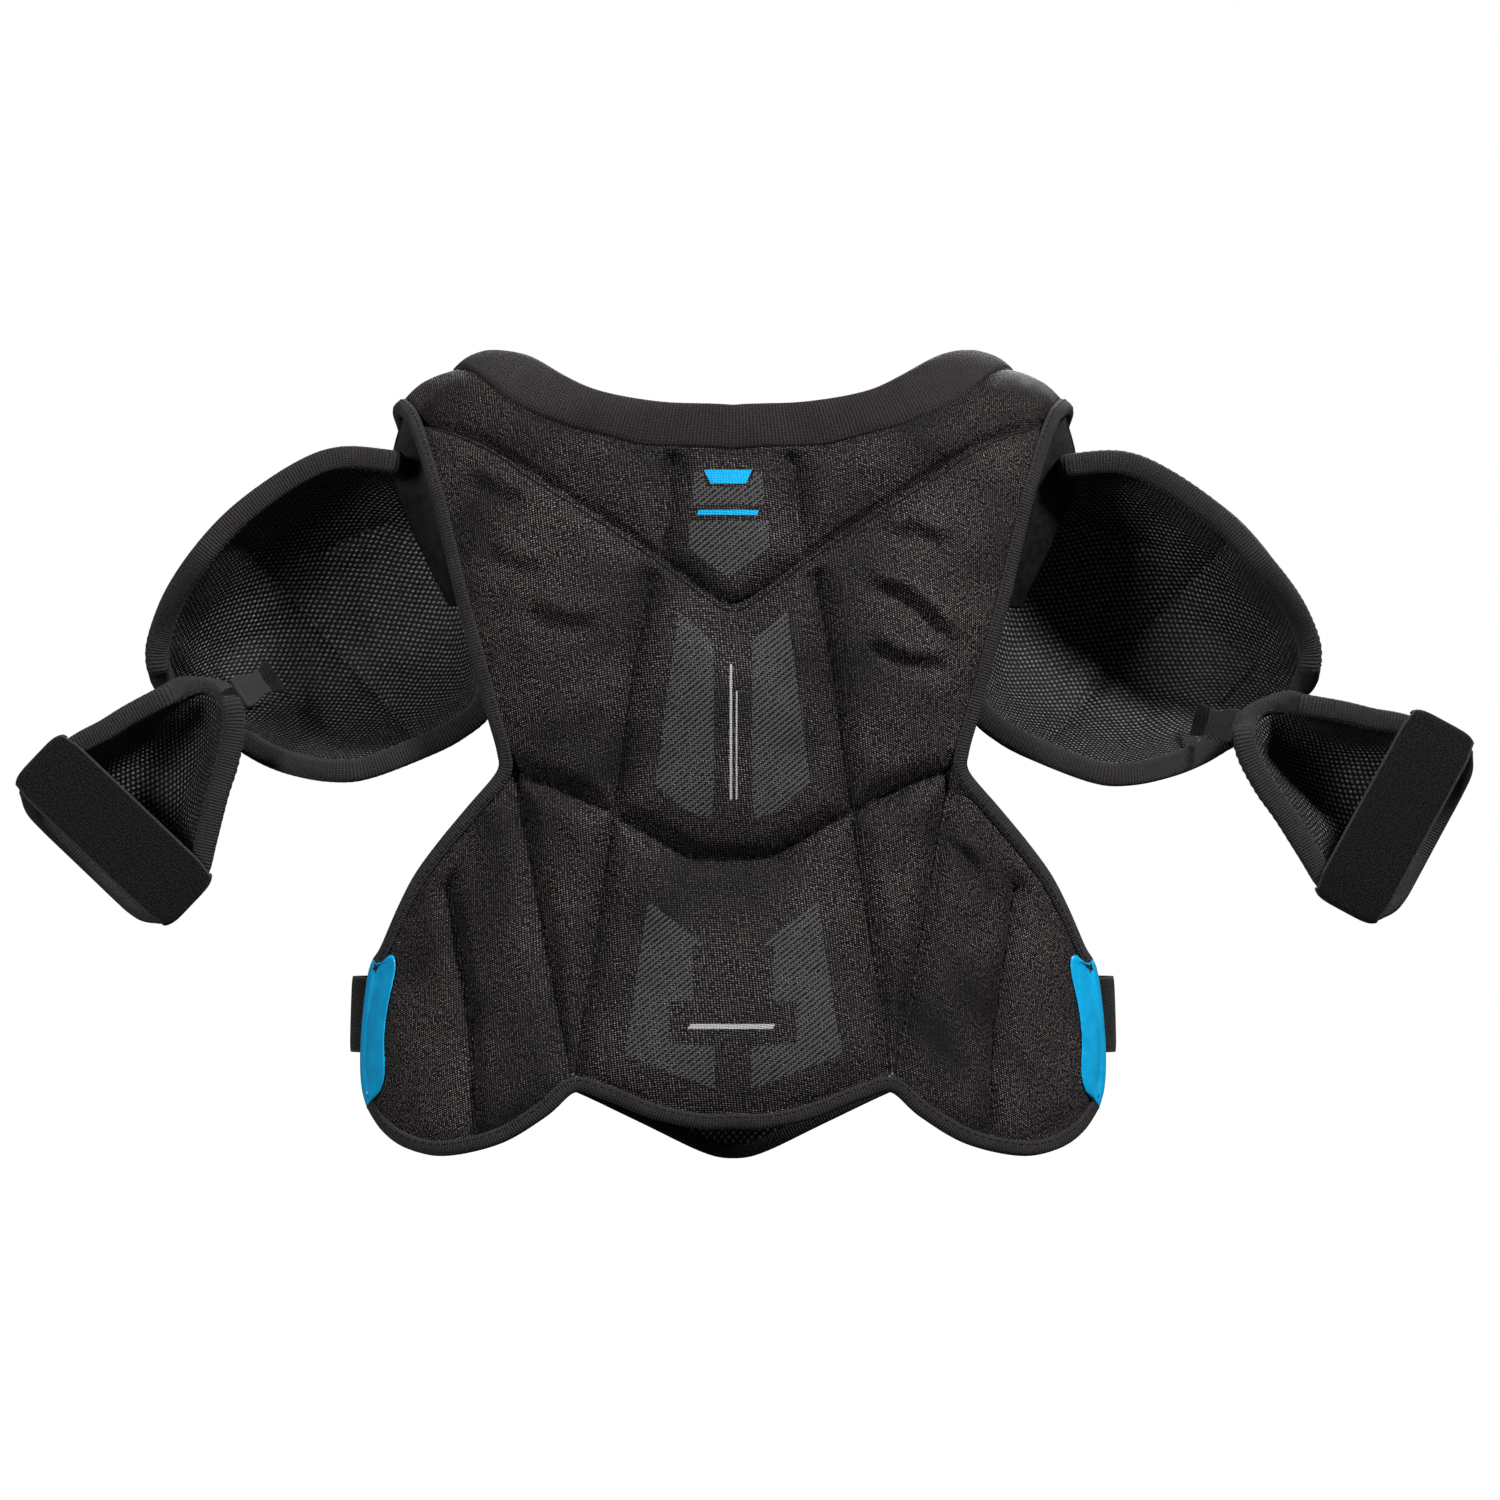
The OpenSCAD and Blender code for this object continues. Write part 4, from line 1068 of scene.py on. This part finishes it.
back_q = back_grid()
yoke_q = yoke_grid()
rim_of_back = np.concatenate([back_q[:, -1], back_q[-1, ::-1], back_q[::-1, 0]])
armhole_of_yoke = yoke_q[-1, -SIDE_COLUMNS - 1:]
rim_of_yoke = np.concatenate([armhole_of_yoke, mirrored(armhole_of_yoke)[::-1]])
v_seam = spline(whole(seam_line), 60)
V_HOLD = (v_seam, 0.9, 3.0)
back = Panel("back_panel", back_q, 1, BACK_SEAMS, rim_of_back, [V_HOLD], "torso", [print_mat, mesh_mat],
             ("back_cover", "back_liner"), BLADE_FOLDS)
yoke = Panel("yoke_panel", yoke_q, 1, YOKE_SEAMS, rim_of_yoke, [V_HOLD, (whole(rear_neck_low), 1.2, 1.2)],
             "torso", [print_mat, mesh_mat], ("yoke_cover", "yoke_liner"), BLADE_FOLDS)


def torso_binding():
    """One tape from hinge line to hinge line: down the armhole, along the hem and up again."""
    y, b = doubled(yoke.base), doubled(back.base)
    top = 2 * SIDE_COLUMNS - 1
    right = (y[-1, ::-1][:top], y[-5, ::-1][:top], normals(y)[-1, ::-1][:top])
    left = (y[-1, :top][::-1], y[-5, :top][::-1], normals(y)[-1, :top][::-1])
    n = normals(b)
    down = (b[1:, -1], b[1:, -5], n[1:, -1])
    hem = (b[-1, -2:0:-1], b[-5, -2:0:-1], n[-1, -2:0:-1])
    up = (b[:0:-1, 0], b[:0:-1, 4], n[:0:-1, 0])
    parts = (right, down, hem, up, left)
    spots, inside, ins = (np.concatenate([part[k] for part in parts]) for k in range(3))
    return even_frames(spots, spots - inside, ins, False)


back_frames = torso_binding()
tape_rows = stitched_tape("back_binding_tape", "back_binding", back_frames, PANEL_LAYERS, False, "torso")
add_stitches("back_binding_stitches", tape_rows, "torso", dark_thread)
v_rows = [dashes(*back.place(resample(v_seam + [0, 4.2], 150)[6:-6], 0.3), *SEAM_STITCH)]
add_stitches("back_seam_stitches", seam_rows(back) + seam_rows(yoke) + v_rows, "torso", seam_thread)

# ---- Collar ----

COLLAR_W = 22


def collar(name, neck, low, way, body, node):
    """A folded band of ribbed knit between its neck edge and the panel, with a round upper fold."""
    s = np.array([0, 0.02, 0.06, 0.13, 0.25, 0.4, 0.55, 0.7, 0.85, 0.95, 1.0])
    half = np.array([neck + k * (low - neck) for k in s])
    q = np.concatenate([mirrored(half[:, :0:-1].reshape(-1, 2)).reshape(len(s), -1, 2), half], 1)
    q = np.swapaxes(doubled(np.swapaxes(q, 0, 1))[:, ::2], 0, 1)
    base = form(q)
    out = -way * normals(base)
    share = s[:, None] + 0 * q[..., 0]
    round_top = np.sqrt(1 - (1 - np.minimum(1, share / 0.16)) ** 2)
    round_low = np.sqrt(1 - (1 - np.minimum(1, (1 - share) / 0.08 + 0.15)) ** 2)
    thick = 2.6 * round_top * round_low + 0.25
    crown = 1.4 * np.sin(np.pi * share) + ripples(q, 0.25, 30, 90)
    for x in (-30.5, 24):
        crown = crown - 0.5 * np.exp(-(((base[..., 0] - x) / 1.2) ** 2)) * (way > 0)
    middle = base - out * 1.6
    uv = np.stack([lengths(base[5])[None] + 0 * share, COLLAR_W * share], -1)
    obj = closed_grid(name, middle + out * (thick + crown)[..., None],
                      middle - out * (thick - 0.2)[..., None], body, [collar_mat], uv)
    declare(obj, "collar_knit", 0.6, node)


collar("rear_collar", rear_neck, rear_neck_low, 1, "torso", "rear_collar_band")
below_collar = rear_neck_low[:-4] + [0, 2.6]
collar_row = dashes(*yoke.place(resample(whole(below_collar), 110)), *COLLAR_STITCH)
add_stitches("collar_stitches", [collar_row], "torso", dark_thread)

# ---- Chest panel ----

NECK_COLUMNS, HINGE_COLUMNS = 40, 10
STRAP_W, STRAP_T, SIDE_STRAP_Z = 38, 1.8, -323
front_neck = along(np.concatenate([flats(CHEST_NECK, -1), [[97, CHEST_HINGE]]]), NECK_COLUMNS)
front_neck_low = along(np.concatenate([flats(CHEST_NECK_LOW, -1), [[115, CHEST_HINGE]]]), NECK_COLUMNS)


def chest_grid():
    hinge = [[115 + (YOKE_U - 115) * k / HINGE_COLUMNS, CHEST_HINGE] for k in range(1, HINGE_COLUMNS + 1)]
    top = whole(np.concatenate([front_neck_low, hinge]))
    side = along(np.concatenate([[[YOKE_U, CHEST_HINGE]], flats(CHEST_SIDE, -1)]), 84)
    hem = along(whole(flats(CHEST_HEM, -1)), len(top) - 1)
    return coons(top, side, hem, mirrored(side))


chest_q = chest_grid()
rim_of_chest = np.concatenate([chest_q[:, -1], chest_q[-1, ::-1], chest_q[::-1, 0]])
tab_rest = resample(flats([[74, SIDE_STRAP_Z], [118, SIDE_STRAP_Z]], -1), 90)
tab_holds = (joined([tab_rest, mirrored(tab_rest)]), 21, 0)
chest = Panel("chest_panel_pad", chest_q, -1, CHEST_SEAMS, rim_of_chest,
              [(whole(front_neck_low), 1.2, 1.2), tab_holds], "chest_panel", [cover_mat, mesh_mat],
              ("chest_cover", "chest_liner"))
tape_rows = stitched_tape("chest_binding_tape", "chest_binding", edge_frames(doubled(chest.base), -1, False),
                          PANEL_LAYERS, False, "chest_panel")
add_stitches("chest_stitches", tape_rows + seam_rows(chest), "chest_panel", dark_thread)
collar("front_collar", front_neck, front_neck_low, -1, "chest_panel", "front_collar_band")

# ---- Fabric across the shoulder hinges ----


def strip(name, grid, thick, mat):
    """A thin closed strip: grid on its outer face, thick measured along the grid's normals."""
    return closed_grid(name, grid, grid + thick * normals(grid), None, [mat], lengths_uv(grid))


for side, place in TORSO_PLACES.items():
    u = np.linspace(YOKE_U + 2, 98, 40)
    p = np.linspace(-HINGE_P + 9, -HINGE_P - 9, 19)
    q = np.stack(np.meshgrid(u, p), -1)
    base = form(q)
    out = normals(base)
    out *= np.sign(out[..., 2:3])
    deep = 4.4 + 2.2 * np.exp(-(((q[..., 1] + HINGE_P) / 5) ** 2)) + 0.35 * np.sin(q[..., 0] / 1.3)
    grid = place(base - out * deep[..., None])
    way = np.sign((normals(grid) * place(out)).sum(-1).mean())
    hinge = strip(f"{side}_shoulder_hinge", grid, -2.2 * way, elastic_mat)
    declare(hinge, "elastic", 0.3)
    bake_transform(hinge)

# ---- Foam inside the panels ----

FOAM_DEPTHS, YOKE_FOAM_DEPTHS = (7.6, 10.2), (6.0, 8.3)
# Corners as seen from straight behind or ahead, which way they are seen, and how many there are.
FOAMS = {
    "neck_foam": ([[-30, -58], [30, -58], [14, -88], [-14, -88]], 1, 1),
    "spine_foam": ([[-26, -136], [26, -136], [44, -216], [-44, -216]], 1, 1),
    "lumbar_foam": ([[-44, -254], [44, -254], [60, -336], [-60, -336]], 1, 1),
    "blade_foam": ([[56, -106], [112, -80], [92, -178], [62, -196]], 1, 2),
    "wing_foam": ([[114, -238], [134, -252], [158, -350], [112, -350]], 1, 2),
    "sternum_foam": ([[-36, -122], [36, -122], [30, -226], [-30, -226]], -1, 1),
    "chest_foam": ([[58, -104], [104, -92], [84, -180], [58, -198]], -1, 2),
    "belly_foam": ([[-62, -252], [62, -252], [52, -352], [-52, -352]], -1, 1),
}


def foam_pad(name, q, way, depths, body, place):
    """A foam block with rounded edges between two depths under the form."""
    low, high = depths
    base = form(q)
    out = -way * normals(base)
    d, _ = nearest(q, border(q))
    round_edge = np.sqrt(1 - (1 - np.minimum(1, d / 3 + 0.02)) ** 2)
    middle = base - out * (low + high) / 2
    half = (high - low) / 2 * (0.35 + 0.65 * round_edge)[..., None]
    outer, inner = middle + out * half, middle - out * half
    pad = closed_grid(f"{name}_pad", place(outer), place(inner), body, [foam_mat], q)
    declare(pad, "foam", 0.9, name)


for name, (corners, way, count) in FOAMS.items():
    a, b, c, d = flats(corners, way)
    q = patch([a, b], [b, c], [d, c], [a, d], 26, 26)
    body = "torso" if way > 0 else "chest_panel"
    if count == 1:
        foam_pad(name, q, way, FOAM_DEPTHS, body, as_is)
    else:
        for side, place in TORSO_PLACES.items():
            foam_pad(f"{side}_{name}", q, way, FOAM_DEPTHS, body, place)
yoke_strip = patch([[134, -28], [147, -28]], [[147, -28], [149, -4], [140, 30]], [[128, 30], [140, 30]],
                   [[134, -28], [133, -4], [128, 30]], 8, 30)
for side, place in TORSO_PLACES.items():
    foam_pad(f"{side}_yoke_foam", yoke_strip, 1, YOKE_FOAM_DEPTHS, "torso", place)

# ---- Blue film on the wings, loop patches and the straps' sewn ends ----

FILM_W, FILM_FROM_X, FILM_TOP, FILM_LOW, TAPE_OUT = 31, 150, -296, -369, 3.9


def wing_film():
    """Film pressed over the wing's end: from the panel over its binding to the tape's outer edge."""
    spots, outs, ins = split(back_frames)
    part = (spots[:, 0] > FILM_FROM_X) & (spots[:, 2] < FILM_TOP) & (spots[:, 2] > FILM_LOW)
    spots, outs, ins = spots[part], outs[part], ins[part]
    n = len(spots)
    s = np.linspace(-1, 1, n)
    reach = FILM_W * np.maximum(0.02, 1 - np.abs(s) ** 5) ** 0.5
    cuts = np.linspace(0, 1, 32)
    edge_q = flats(spots[:, [0, 2]], 1)
    lifted = []
    for j in range(n):
        line = []
        inward = np.maximum(0, cuts * (reach[j] + TAPE_OUT) - TAPE_OUT)
        on_panel, _ = back.place(edge_q[j] - np.stack([inward, 0 * inward], 1), 0.9)
        for i in range(len(cuts)):
            t = TAPE_OUT - cuts[i] * (reach[j] + TAPE_OUT)
            tape_depth = np.interp(-t, [-4.3, -3.4, -2, 0, 3.6], [1.4, -1.0, -2.3, -2.75, -2.75])
            over_tape = spots[j] + outs[j] * t + ins[j] * tape_depth
            share = smooth((-t - 3.0) / 3.5)
            line.append(over_tape * (1 - share) + on_panel[i] * share)
        lifted.append(line)
    grid = np.array(lifted)
    for _ in range(6):
        grid[1:-1, 8:-1] = (grid[:-2, 8:-1] + grid[2:, 8:-1] + grid[1:-1, 7:-2] + grid[1:-1, 9:]) / 4
    return grid


film_grid = wing_film()
film_parts = []
for place in TORSO_PLACES.values():
    grid = place(film_grid)
    sign = np.sign(normals(grid)[..., 1].mean())
    film_parts.append(closed_part(grid, grid + normals(grid) * 0.3 * sign, lengths_uv(grid)))
points, faces, uv = join_meshes(film_parts)
film = make_mesh("wing_film", points, faces, "torso", [film_mat], uv)
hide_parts("wing_patches")


def fleece_patch(name, x0, x1, way, depth, thick, body, node, inside=False):
    """A sewn fabric patch on a panel, at a height of the side strap."""
    parts = []
    half = STRAP_W / 2 - (0 if inside else 2)
    for place in TORSO_PLACES.values():
        a, b, c, d = flats([[x0, SIDE_STRAP_Z + half], [x1, SIDE_STRAP_Z + half],
                            [x1, SIDE_STRAP_Z - half], [x0, SIDE_STRAP_Z - half]], way)
        q = patch([a, b], [b, c], [d, c], [a, d], 24, 22)
        base = form(q)
        out = -way * normals(base)
        if inside:
            outer, inner = base - out * depth, base - out * (depth + thick)
        else:
            spots = chest.place(q)[0].reshape(base.shape)
            outer, inner = spots + out * (depth + thick), spots + out * (depth - 0.4)
        rim_d, _ = nearest(q, border(q))
        outer = outer - out * 0.5 * np.exp(-rim_d / 0.8)[..., None]
        parts.append(closed_part(place(outer), place(inner), q))
    points, faces, uv = join_meshes(parts)
    declare(make_mesh(name, points, faces, body, [pile_mat], uv), "elastic", 0.3, node)


fleece_patch("loop_fleece", 78, 118, -1, 0.9, 0.9, "chest_panel", "loop_patches")
fleece_patch("strap_ends", 160, 178, 1, 17.5, 1.8, "torso", "side_strap_anchors", inside=True)

# ---- Side straps ----

# Degrees round the form.
STRAP_START, STRAP_END, TAB_GAP, TAB_END = 79, 139, 0.3, 153
STRAP_SEWN_DEPTH, STRAP_CLEARANCE = 5.8, 3.4


def round_torso(start, end, n, sewn):
    """The outer face of a side strap between two angles round the form, and the way out of it."""
    t = np.radians(np.linspace(start, end, n + 1))[None]
    w = np.linspace(1, -1, 21)[:, None]
    z = SIDE_STRAP_Z + w * STRAP_W / 2 + 0 * t
    y = -np.where(np.cos(t) >= 0, depth_back(z), depth_front(z)) * round_off(t)
    g = np.stack([half_w(z) * np.sin(t), y, z], -1)
    inwards = normals(g)
    share = smooth((np.degrees(t) - STRAP_START) / 15) if sewn else 1 + 0 * t
    lie = STRAP_SEWN_DEPTH * (1 - share) - (STRAP_CLEARANCE + STRAP_T) * share
    slack = 0.5 * np.sin(3.1 * t * 6) * np.sin(math.pi * (np.degrees(t) - start) / (end - start))
    g = g + inwards * (lie - slack + 0.4 * np.abs(w) ** 8)[..., None]
    arc = lengths(g[10])
    return g, inwards, np.stack([arc[None] + 0 * w, STRAP_W / 2 * w + 0 * t], -1)


for side, place in TORSO_PLACES.items():
    outer, inwards, uv = round_torso(STRAP_START, STRAP_END, 110, True)
    obj = closed_grid(f"{side}_side_strap_web", place(outer), place(outer + inwards * STRAP_T), None,
                      [elastic_mat], uv)
    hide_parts(f"{side}_side_strap")
    sign = SIDE_SIGN[side]
    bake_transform(obj)
    outer, inwards, uv = round_torso(STRAP_END + TAB_GAP, TAB_END, 26, False)
    obj = closed_grid(f"{side}_side_strap_tab_web", place(outer), place(outer + inwards * STRAP_T),
                      f"{side}_side_closure", [film_mat], uv)
    declare(obj, "blue_film", 0.2, f"{side}_side_strap_tab")

# ---- Troughs of the arms ----

CAP_OUTER = [[170, -49], [196, -47], [217, -55], [244, -74], [263, -94], [278, -116], [286, -137],
             [286, -148]]
CAP_INNER = [[122, -146], [128, -166], [139, -176], [154, -184], [184, -195.5], [201, -197], [219, -194],
             [233, -189], [245, -182]]
CAP_SHOULDER_END = [[170, -49], [152, -68], [138, -92], [128, -118], [122, -146]]
CAP_ELBOW_END = [[286, -148], [281, -163], [266, -174], [245, -182]]
CAP_RIM_Y, CAP_BOTTOM_Y, CAP_LAYERS = -38, 34, 7.5
GUARD_OUTER = [[283, -166], [300, -175], [313, -183], [326, -190], [344, -203], [349, -212]]
GUARD_INNER = [[254, -167], [253, -178], [256, -195], [261, -211], [267, -235], [271, -250], [280, -262],
               [289, -269]]
GUARD_TOP = [[254, -167], [259, -160], [266, -158], [274, -160], [283, -166]]
GUARD_LOW = [[289, -269], [300, -268], [310, -261], [330, -242], [346, -224], [349, -212]]
GUARD_RIM_Y, GUARD_DEPTH, GUARD_LAYERS = -46, 50, 7


def trough_grid(outline, rim, bottom):
    """Rows down the arm and columns across it; the columns crowd towards the steep rims."""
    m, n = len(outline) - 1, outline.shape[1] - 1
    s = np.sin(np.radians(180 * np.arange(n + 1) / n - 90))
    v = np.arange(m + 1) / m
    a = (s + 1) / 2 * n
    x = np.array([np.interp(a, np.arange(n + 1), row[:, 0]) for row in outline])
    z = np.array([np.interp(a, np.arange(n + 1), row[:, 1]) for row in outline])
    edge, deep = rim(v)[:, None], bottom(v)[:, None]
    return np.stack([x, edge + (deep - edge) * np.maximum(0, 1 - s**2)[None] ** 0.55, z], -1)


cap_grid = trough_grid(
    patch(CAP_SHOULDER_END[::-1], CAP_OUTER, CAP_ELBOW_END[::-1], CAP_INNER, 66, 46),
    lambda v: CAP_RIM_Y + 6 * smooth(1 - v / 0.3) + 40 * smooth((v - 0.6) / 0.4),
    lambda v: CAP_BOTTOM_Y - 14 * smooth(1 - v / 0.35) - 10 * smooth((v - 0.5) / 0.5))
guard_grid = trough_grid(
    patch(GUARD_TOP, GUARD_OUTER, GUARD_LOW, GUARD_INNER, 46, 38),
    lambda v: GUARD_RIM_Y + 0 * v,
    lambda v: GUARD_RIM_Y + GUARD_DEPTH * (0.5 + 0.5 * smooth(v / 0.5)))

CAP_LINING_SEAMS = [[[255, -80], [205, -133], [160, -183]], [[206.5, -90], [175.5, -77]]]
CAP_COVER_SEAMS = [[[150, -72], [190, -72], [228, -92], [264, -132], [272, -160]],
                   [[130, -128], [160, -150], [205, -172], [246, -176]], [[228, -92], [166, -184]],
                   [[190, -72], [136, -138]]]
GUARD_COVER_SEAMS = [[[268, -163], [290, -205], [316, -252]], [[258, -200], [290, -205], [330, -196]]]


# Lining, then cover: the way out, share of the puff, seams' sink and groove, and the cloth's growth.
SHELL_SIDES = ((-1, 0.6, 1.0, 1.3, 0.01), (1, 1.0, 1.3, 1.0, 0.018))
SHELL_RIM, SHELL_TAPE_REACH = 4.0, 4.2


def shell(name, body_name, grid, layers, seams, places, puff):
    """A trough-shaped pad on each side: mesh lining towards the arm, padded cover outside.

    seams holds the lining's and the cover's. Returns the lining's points and ways out.
    """
    n_grid = normals(grid)
    q = grid[..., [0, 2]]
    rim_d, _ = nearest(grid, border(grid))
    layered = []
    for own, start, (way, share, deep, groove, grow) in zip(seams, (0.0, layers), SHELL_SIDES):
        out = way * n_grid
        lines = [stepped(np.asarray(line, float), SEAM_STEP) for line in own]
        sink = np.zeros(q.shape[:2])
        gap = np.maximum(0, rim_d - SHELL_RIM)
        free = rim_d > SHELL_RIM
        if lines:
            seam_d, _ = nearest(q, joined(lines))
            sink = deep * (1 - smooth(seam_d / 9)) * smooth(rim_d / 12)
            gap = np.minimum(gap, seam_d)
            free &= seam_d > 0.9
        most = share * puff
        rise = most * (1 - np.exp(-gap / 9)) + ripples(q, 0.5, 22, 60) * smooth(gap / 10)
        co = inflated(grid + n_grid * start, out, rise, sink, 0.4, free, grow, gap, most * 1.1)
        co, fine_q, fine_out = doubled(co), doubled(q), unit(doubled(out))
        if lines:
            d, k = nearest(fine_q, joined(lines))
            fade = smooth(doubled(rim_d[..., None])[..., 0] / 10)
            run = k * SEAM_STEP
            gather = PUCKER * np.sin(2 * math.pi * run / 7 + 2 * np.sin(k / 31))
            gather = gather * np.exp(-d / 6) * smooth(d / 2)
            co = co + fine_out * ((gather - groove * np.exp(-((d / 1.4) ** 2))) * fade)[..., None]
        layered.append((co, lines, fine_q, fine_out))
    uv = lengths_uv(doubled(grid))
    lining, cover = layered
    frames = edge_frames(grid, 1, True)
    for side, place in places.items():
        part = f"{side}_{name}"
        body = f"{side}_{body_name}"
        pad = closed_grid(f"{part}_pad", place(lining[0]), place(cover[0]), body, [mesh_mat, cover_mat], uv)
        declare(pad, "spacer_mesh", 0.6, f"{part}_cover", f"{part}_liner")
        rows = stitched_tape(f"{part}_binding_tape", f"{part}_binding", frames, layers, True, body, place,
                             SHELL_TAPE_REACH, both=True)
        origin = place(np.zeros((1, 3)))[0]
        for co, lines, fine_q, fine_out in layered:
            flat_q, flat_co, flat_out = (v.reshape(-1, v.shape[-1]) for v in (fine_q, co, fine_out))
            for line in lines:
                _, k = nearest(stepped(line, 3.8)[2:-2], flat_q)
                spots = resample(spline(place(flat_co[k] + 0.3 * flat_out[k])[::4], 8), len(k))
                ways = resample(place(flat_out[k]) - origin, len(k))
                rows.append(dashes(spots, ways, *SHELL_STITCH))
        add_stitches(f"{part}_stitches", rows, body, pale_thread)
    return lining[0], lining[3]


cap_lining, cap_out = shell("cap", "shoulder_cap", cap_grid, CAP_LAYERS, (CAP_LINING_SEAMS, CAP_COVER_SEAMS),
                            CAP_PLACES, 4.5)
shell("guard", "arm_guard", guard_grid, GUARD_LAYERS, ([], GUARD_COVER_SEAMS), GUARD_PLACES, 3.0)

# ---- Shoulder flaps, link patches and elastic links ----

FLAP_OUTER = [[166, -22], [171, -40], [171, -56], [163, -76], [153, -98], [143, -118]]
FLAP_INNER = [[141, -22], [141, -40], [140, -56], [138, -76], [134, -98], [130, -118]]
LINK_SPOT = np.s_[62:76, 54:80]
LINK_FROM, LINK_TO = np.array([231, -2, -153]), np.array([246, -42, -161])
LINK_SIDE = np.array([8, 0, 12])

for side, place in TORSO_PLACES.items():
    outer, inner = along(FLAP_OUTER, 60)[:, None], along(FLAP_INNER, 60)[:, None]
    across = np.linspace(0, 1, 24)
    down = np.linspace(0, 1, 61)[:, None]
    flat_xz = outer + (inner - outer) * across[None, :, None]
    y = -8 - 19 * across + 1.2 * np.sin(6 * down + 5 * across)
    grid = np.stack([flat_xz[..., 0], y, flat_xz[..., 1]], -1)
    flap = strip(f"{side}_flap", place(grid), 2.2, neoprene_mat)
    declare(flap, "neoprene", 0.3, f"{side}_shoulder_flap")
    sign = SIDE_SIGN[side]
    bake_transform(flap)

for side, place in CAP_PLACES.items():
    part, out = cap_lining[LINK_SPOT], cap_out[LINK_SPOT]
    obj = closed_grid(f"{side}_link_anchor", place(part + out * 0.7), place(part - out * 0.3),
                      f"{side}_shoulder_cap", [mesh_mat], lengths_uv(doubled(cap_grid))[LINK_SPOT])
    declare(obj, "neoprene", 0.3, f"{side}_link_patch")

for side, place in GUARD_PLACES.items():
    t = np.linspace(-0.02, 1.12, 60)[:, None]
    w = np.linspace(-0.5, 0.5, 21)[None]
    centre = LINK_FROM + (LINK_TO - LINK_FROM) * t[..., None]
    grid = centre + LINK_SIDE * w[..., None] * (1 + 0.16 * np.cos(2 * math.pi * t))[..., None]
    ribs = 0.55 * np.sin(2 * math.pi * t * 9) * (0.6 + 0.4 * np.cos(9 * w))
    grid = grid + normals(grid) * ribs[..., None]
    obj = strip(f"{side}_link_elastic", place(grid), 1.6, elastic_mat)
    declare(obj, "elastic", 0.3, f"{side}_elastic_link")
    a, b = (place(np.array([LINK_FROM + (LINK_TO - LINK_FROM) * k]))[0] * MM for k in (0.2, 0.9))
    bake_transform(obj)

# ---- Arm straps ----

STRAP_FROM = np.array([276, 0, -262.5])
STRAP_ANGLE = math.radians(43.5)
STRAP_RUN = np.array([math.cos(STRAP_ANGLE), 0, math.sin(STRAP_ANGLE)])
STRAP_ACROSS = np.array([-math.sin(STRAP_ANGLE), 0, math.cos(STRAP_ANGLE)])
STRAP_IN, STRAP_OUT, STRAP_TOP_Y = -7, 101, GUARD_RIM_Y - 7.4
HALF_LINE = [[0, GUARD_RIM_Y + 2], [0, GUARD_RIM_Y - 3], [1.5, STRAP_TOP_Y + 1.2], [6, STRAP_TOP_Y],
             [26, STRAP_TOP_Y - 2.4]]


def in_strap_frame(line, w):
    """Points of a band across a guard, from [along, y] points and distances across the strap."""
    line = np.asarray(line, float)
    return (STRAP_FROM + line[None, :, :1] * STRAP_RUN + np.array([0, 1.0, 0]) * line[None, :, 1:]
            + STRAP_ACROSS * w[:, None, None])


def web(line):
    """The outer and inner face of a strap along a line, and their UV."""
    line = stepped(spline(line, 10), 1.6)
    w = np.linspace(-STRAP_W / 2, STRAP_W / 2, 27)
    middle = (STRAP_IN + STRAP_OUT) / 2
    ends = smooth((np.abs(line[:, 0] - middle) - (STRAP_OUT - STRAP_IN) / 2 + 14) / 14)
    way = unit(np.gradient(line, axis=0))
    inner = line + STRAP_T * np.stack([-way[:, 1], way[:, 0]], 1)
    outer3, inner3 = in_strap_frame(line, w), in_strap_frame(inner, w)
    edge = np.abs(w / w[-1])[:, None] ** 5 * ends
    tuck = -2.4 * (edge * np.sign(line[:, 0] - middle))[..., None] * STRAP_RUN
    tuck = tuck - (1.6 * ends * w[:, None] / w[-1])[..., None] * STRAP_ACROSS
    outer3, inner3 = outer3 + tuck, inner3 + tuck
    thin = (0.22 * np.abs(w / w[-1]) ** 10)[:, None, None]
    outer3, inner3 = outer3 + (inner3 - outer3) * thin, inner3 - (inner3 - outer3) * thin
    uv = np.stack([lengths(line)[None] + 0 * w[:, None], w[:, None] + 0 * line[None, :, 0]], -1)
    return outer3, inner3, uv


rise = [[STRAP_IN + a, y] for a, y in HALF_LINE]
fall = [[STRAP_OUT - a, y] for a, y in HALF_LINE[::-1]]
anchor = [[STRAP_IN + 0.8, GUARD_RIM_Y + 20], [STRAP_IN, GUARD_RIM_Y + 10]]
strap_line = anchor + rise + fall
tab_line = [[STRAP_OUT, GUARD_RIM_Y + 2.6], [STRAP_OUT, GUARD_RIM_Y + 12], [STRAP_OUT - 1, GUARD_RIM_Y + 26]]
for side, place in GUARD_PLACES.items():
    outer, inner, uv = web(strap_line)
    obj = closed_grid(f"{side}_arm_strap_web", place(outer), place(inner), None, [elastic_mat], uv)
    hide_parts(f"{side}_arm_strap", f"{side}_arm_strap_anchor")
    ends = [place(in_strap_frame([[k, GUARD_RIM_Y - 3]], np.zeros(1))[0])[0] * MM for k in (-8.6, 1.5)]
    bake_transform(obj)
    outer, inner, uv = web(tab_line)
    obj = closed_grid(f"{side}_arm_tab_web", place(outer), place(inner), f"{side}_arm_closure", [pile_mat],
                      uv)
    declare(obj, "elastic", 0.2, f"{side}_arm_strap_tab")

# ---- The hard inserts stay as the CAD has them ----

for name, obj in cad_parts.items():
    if name.endswith("_plate"):
        obj.data.materials.clear()
        obj.data.materials.append(plastic_mat)
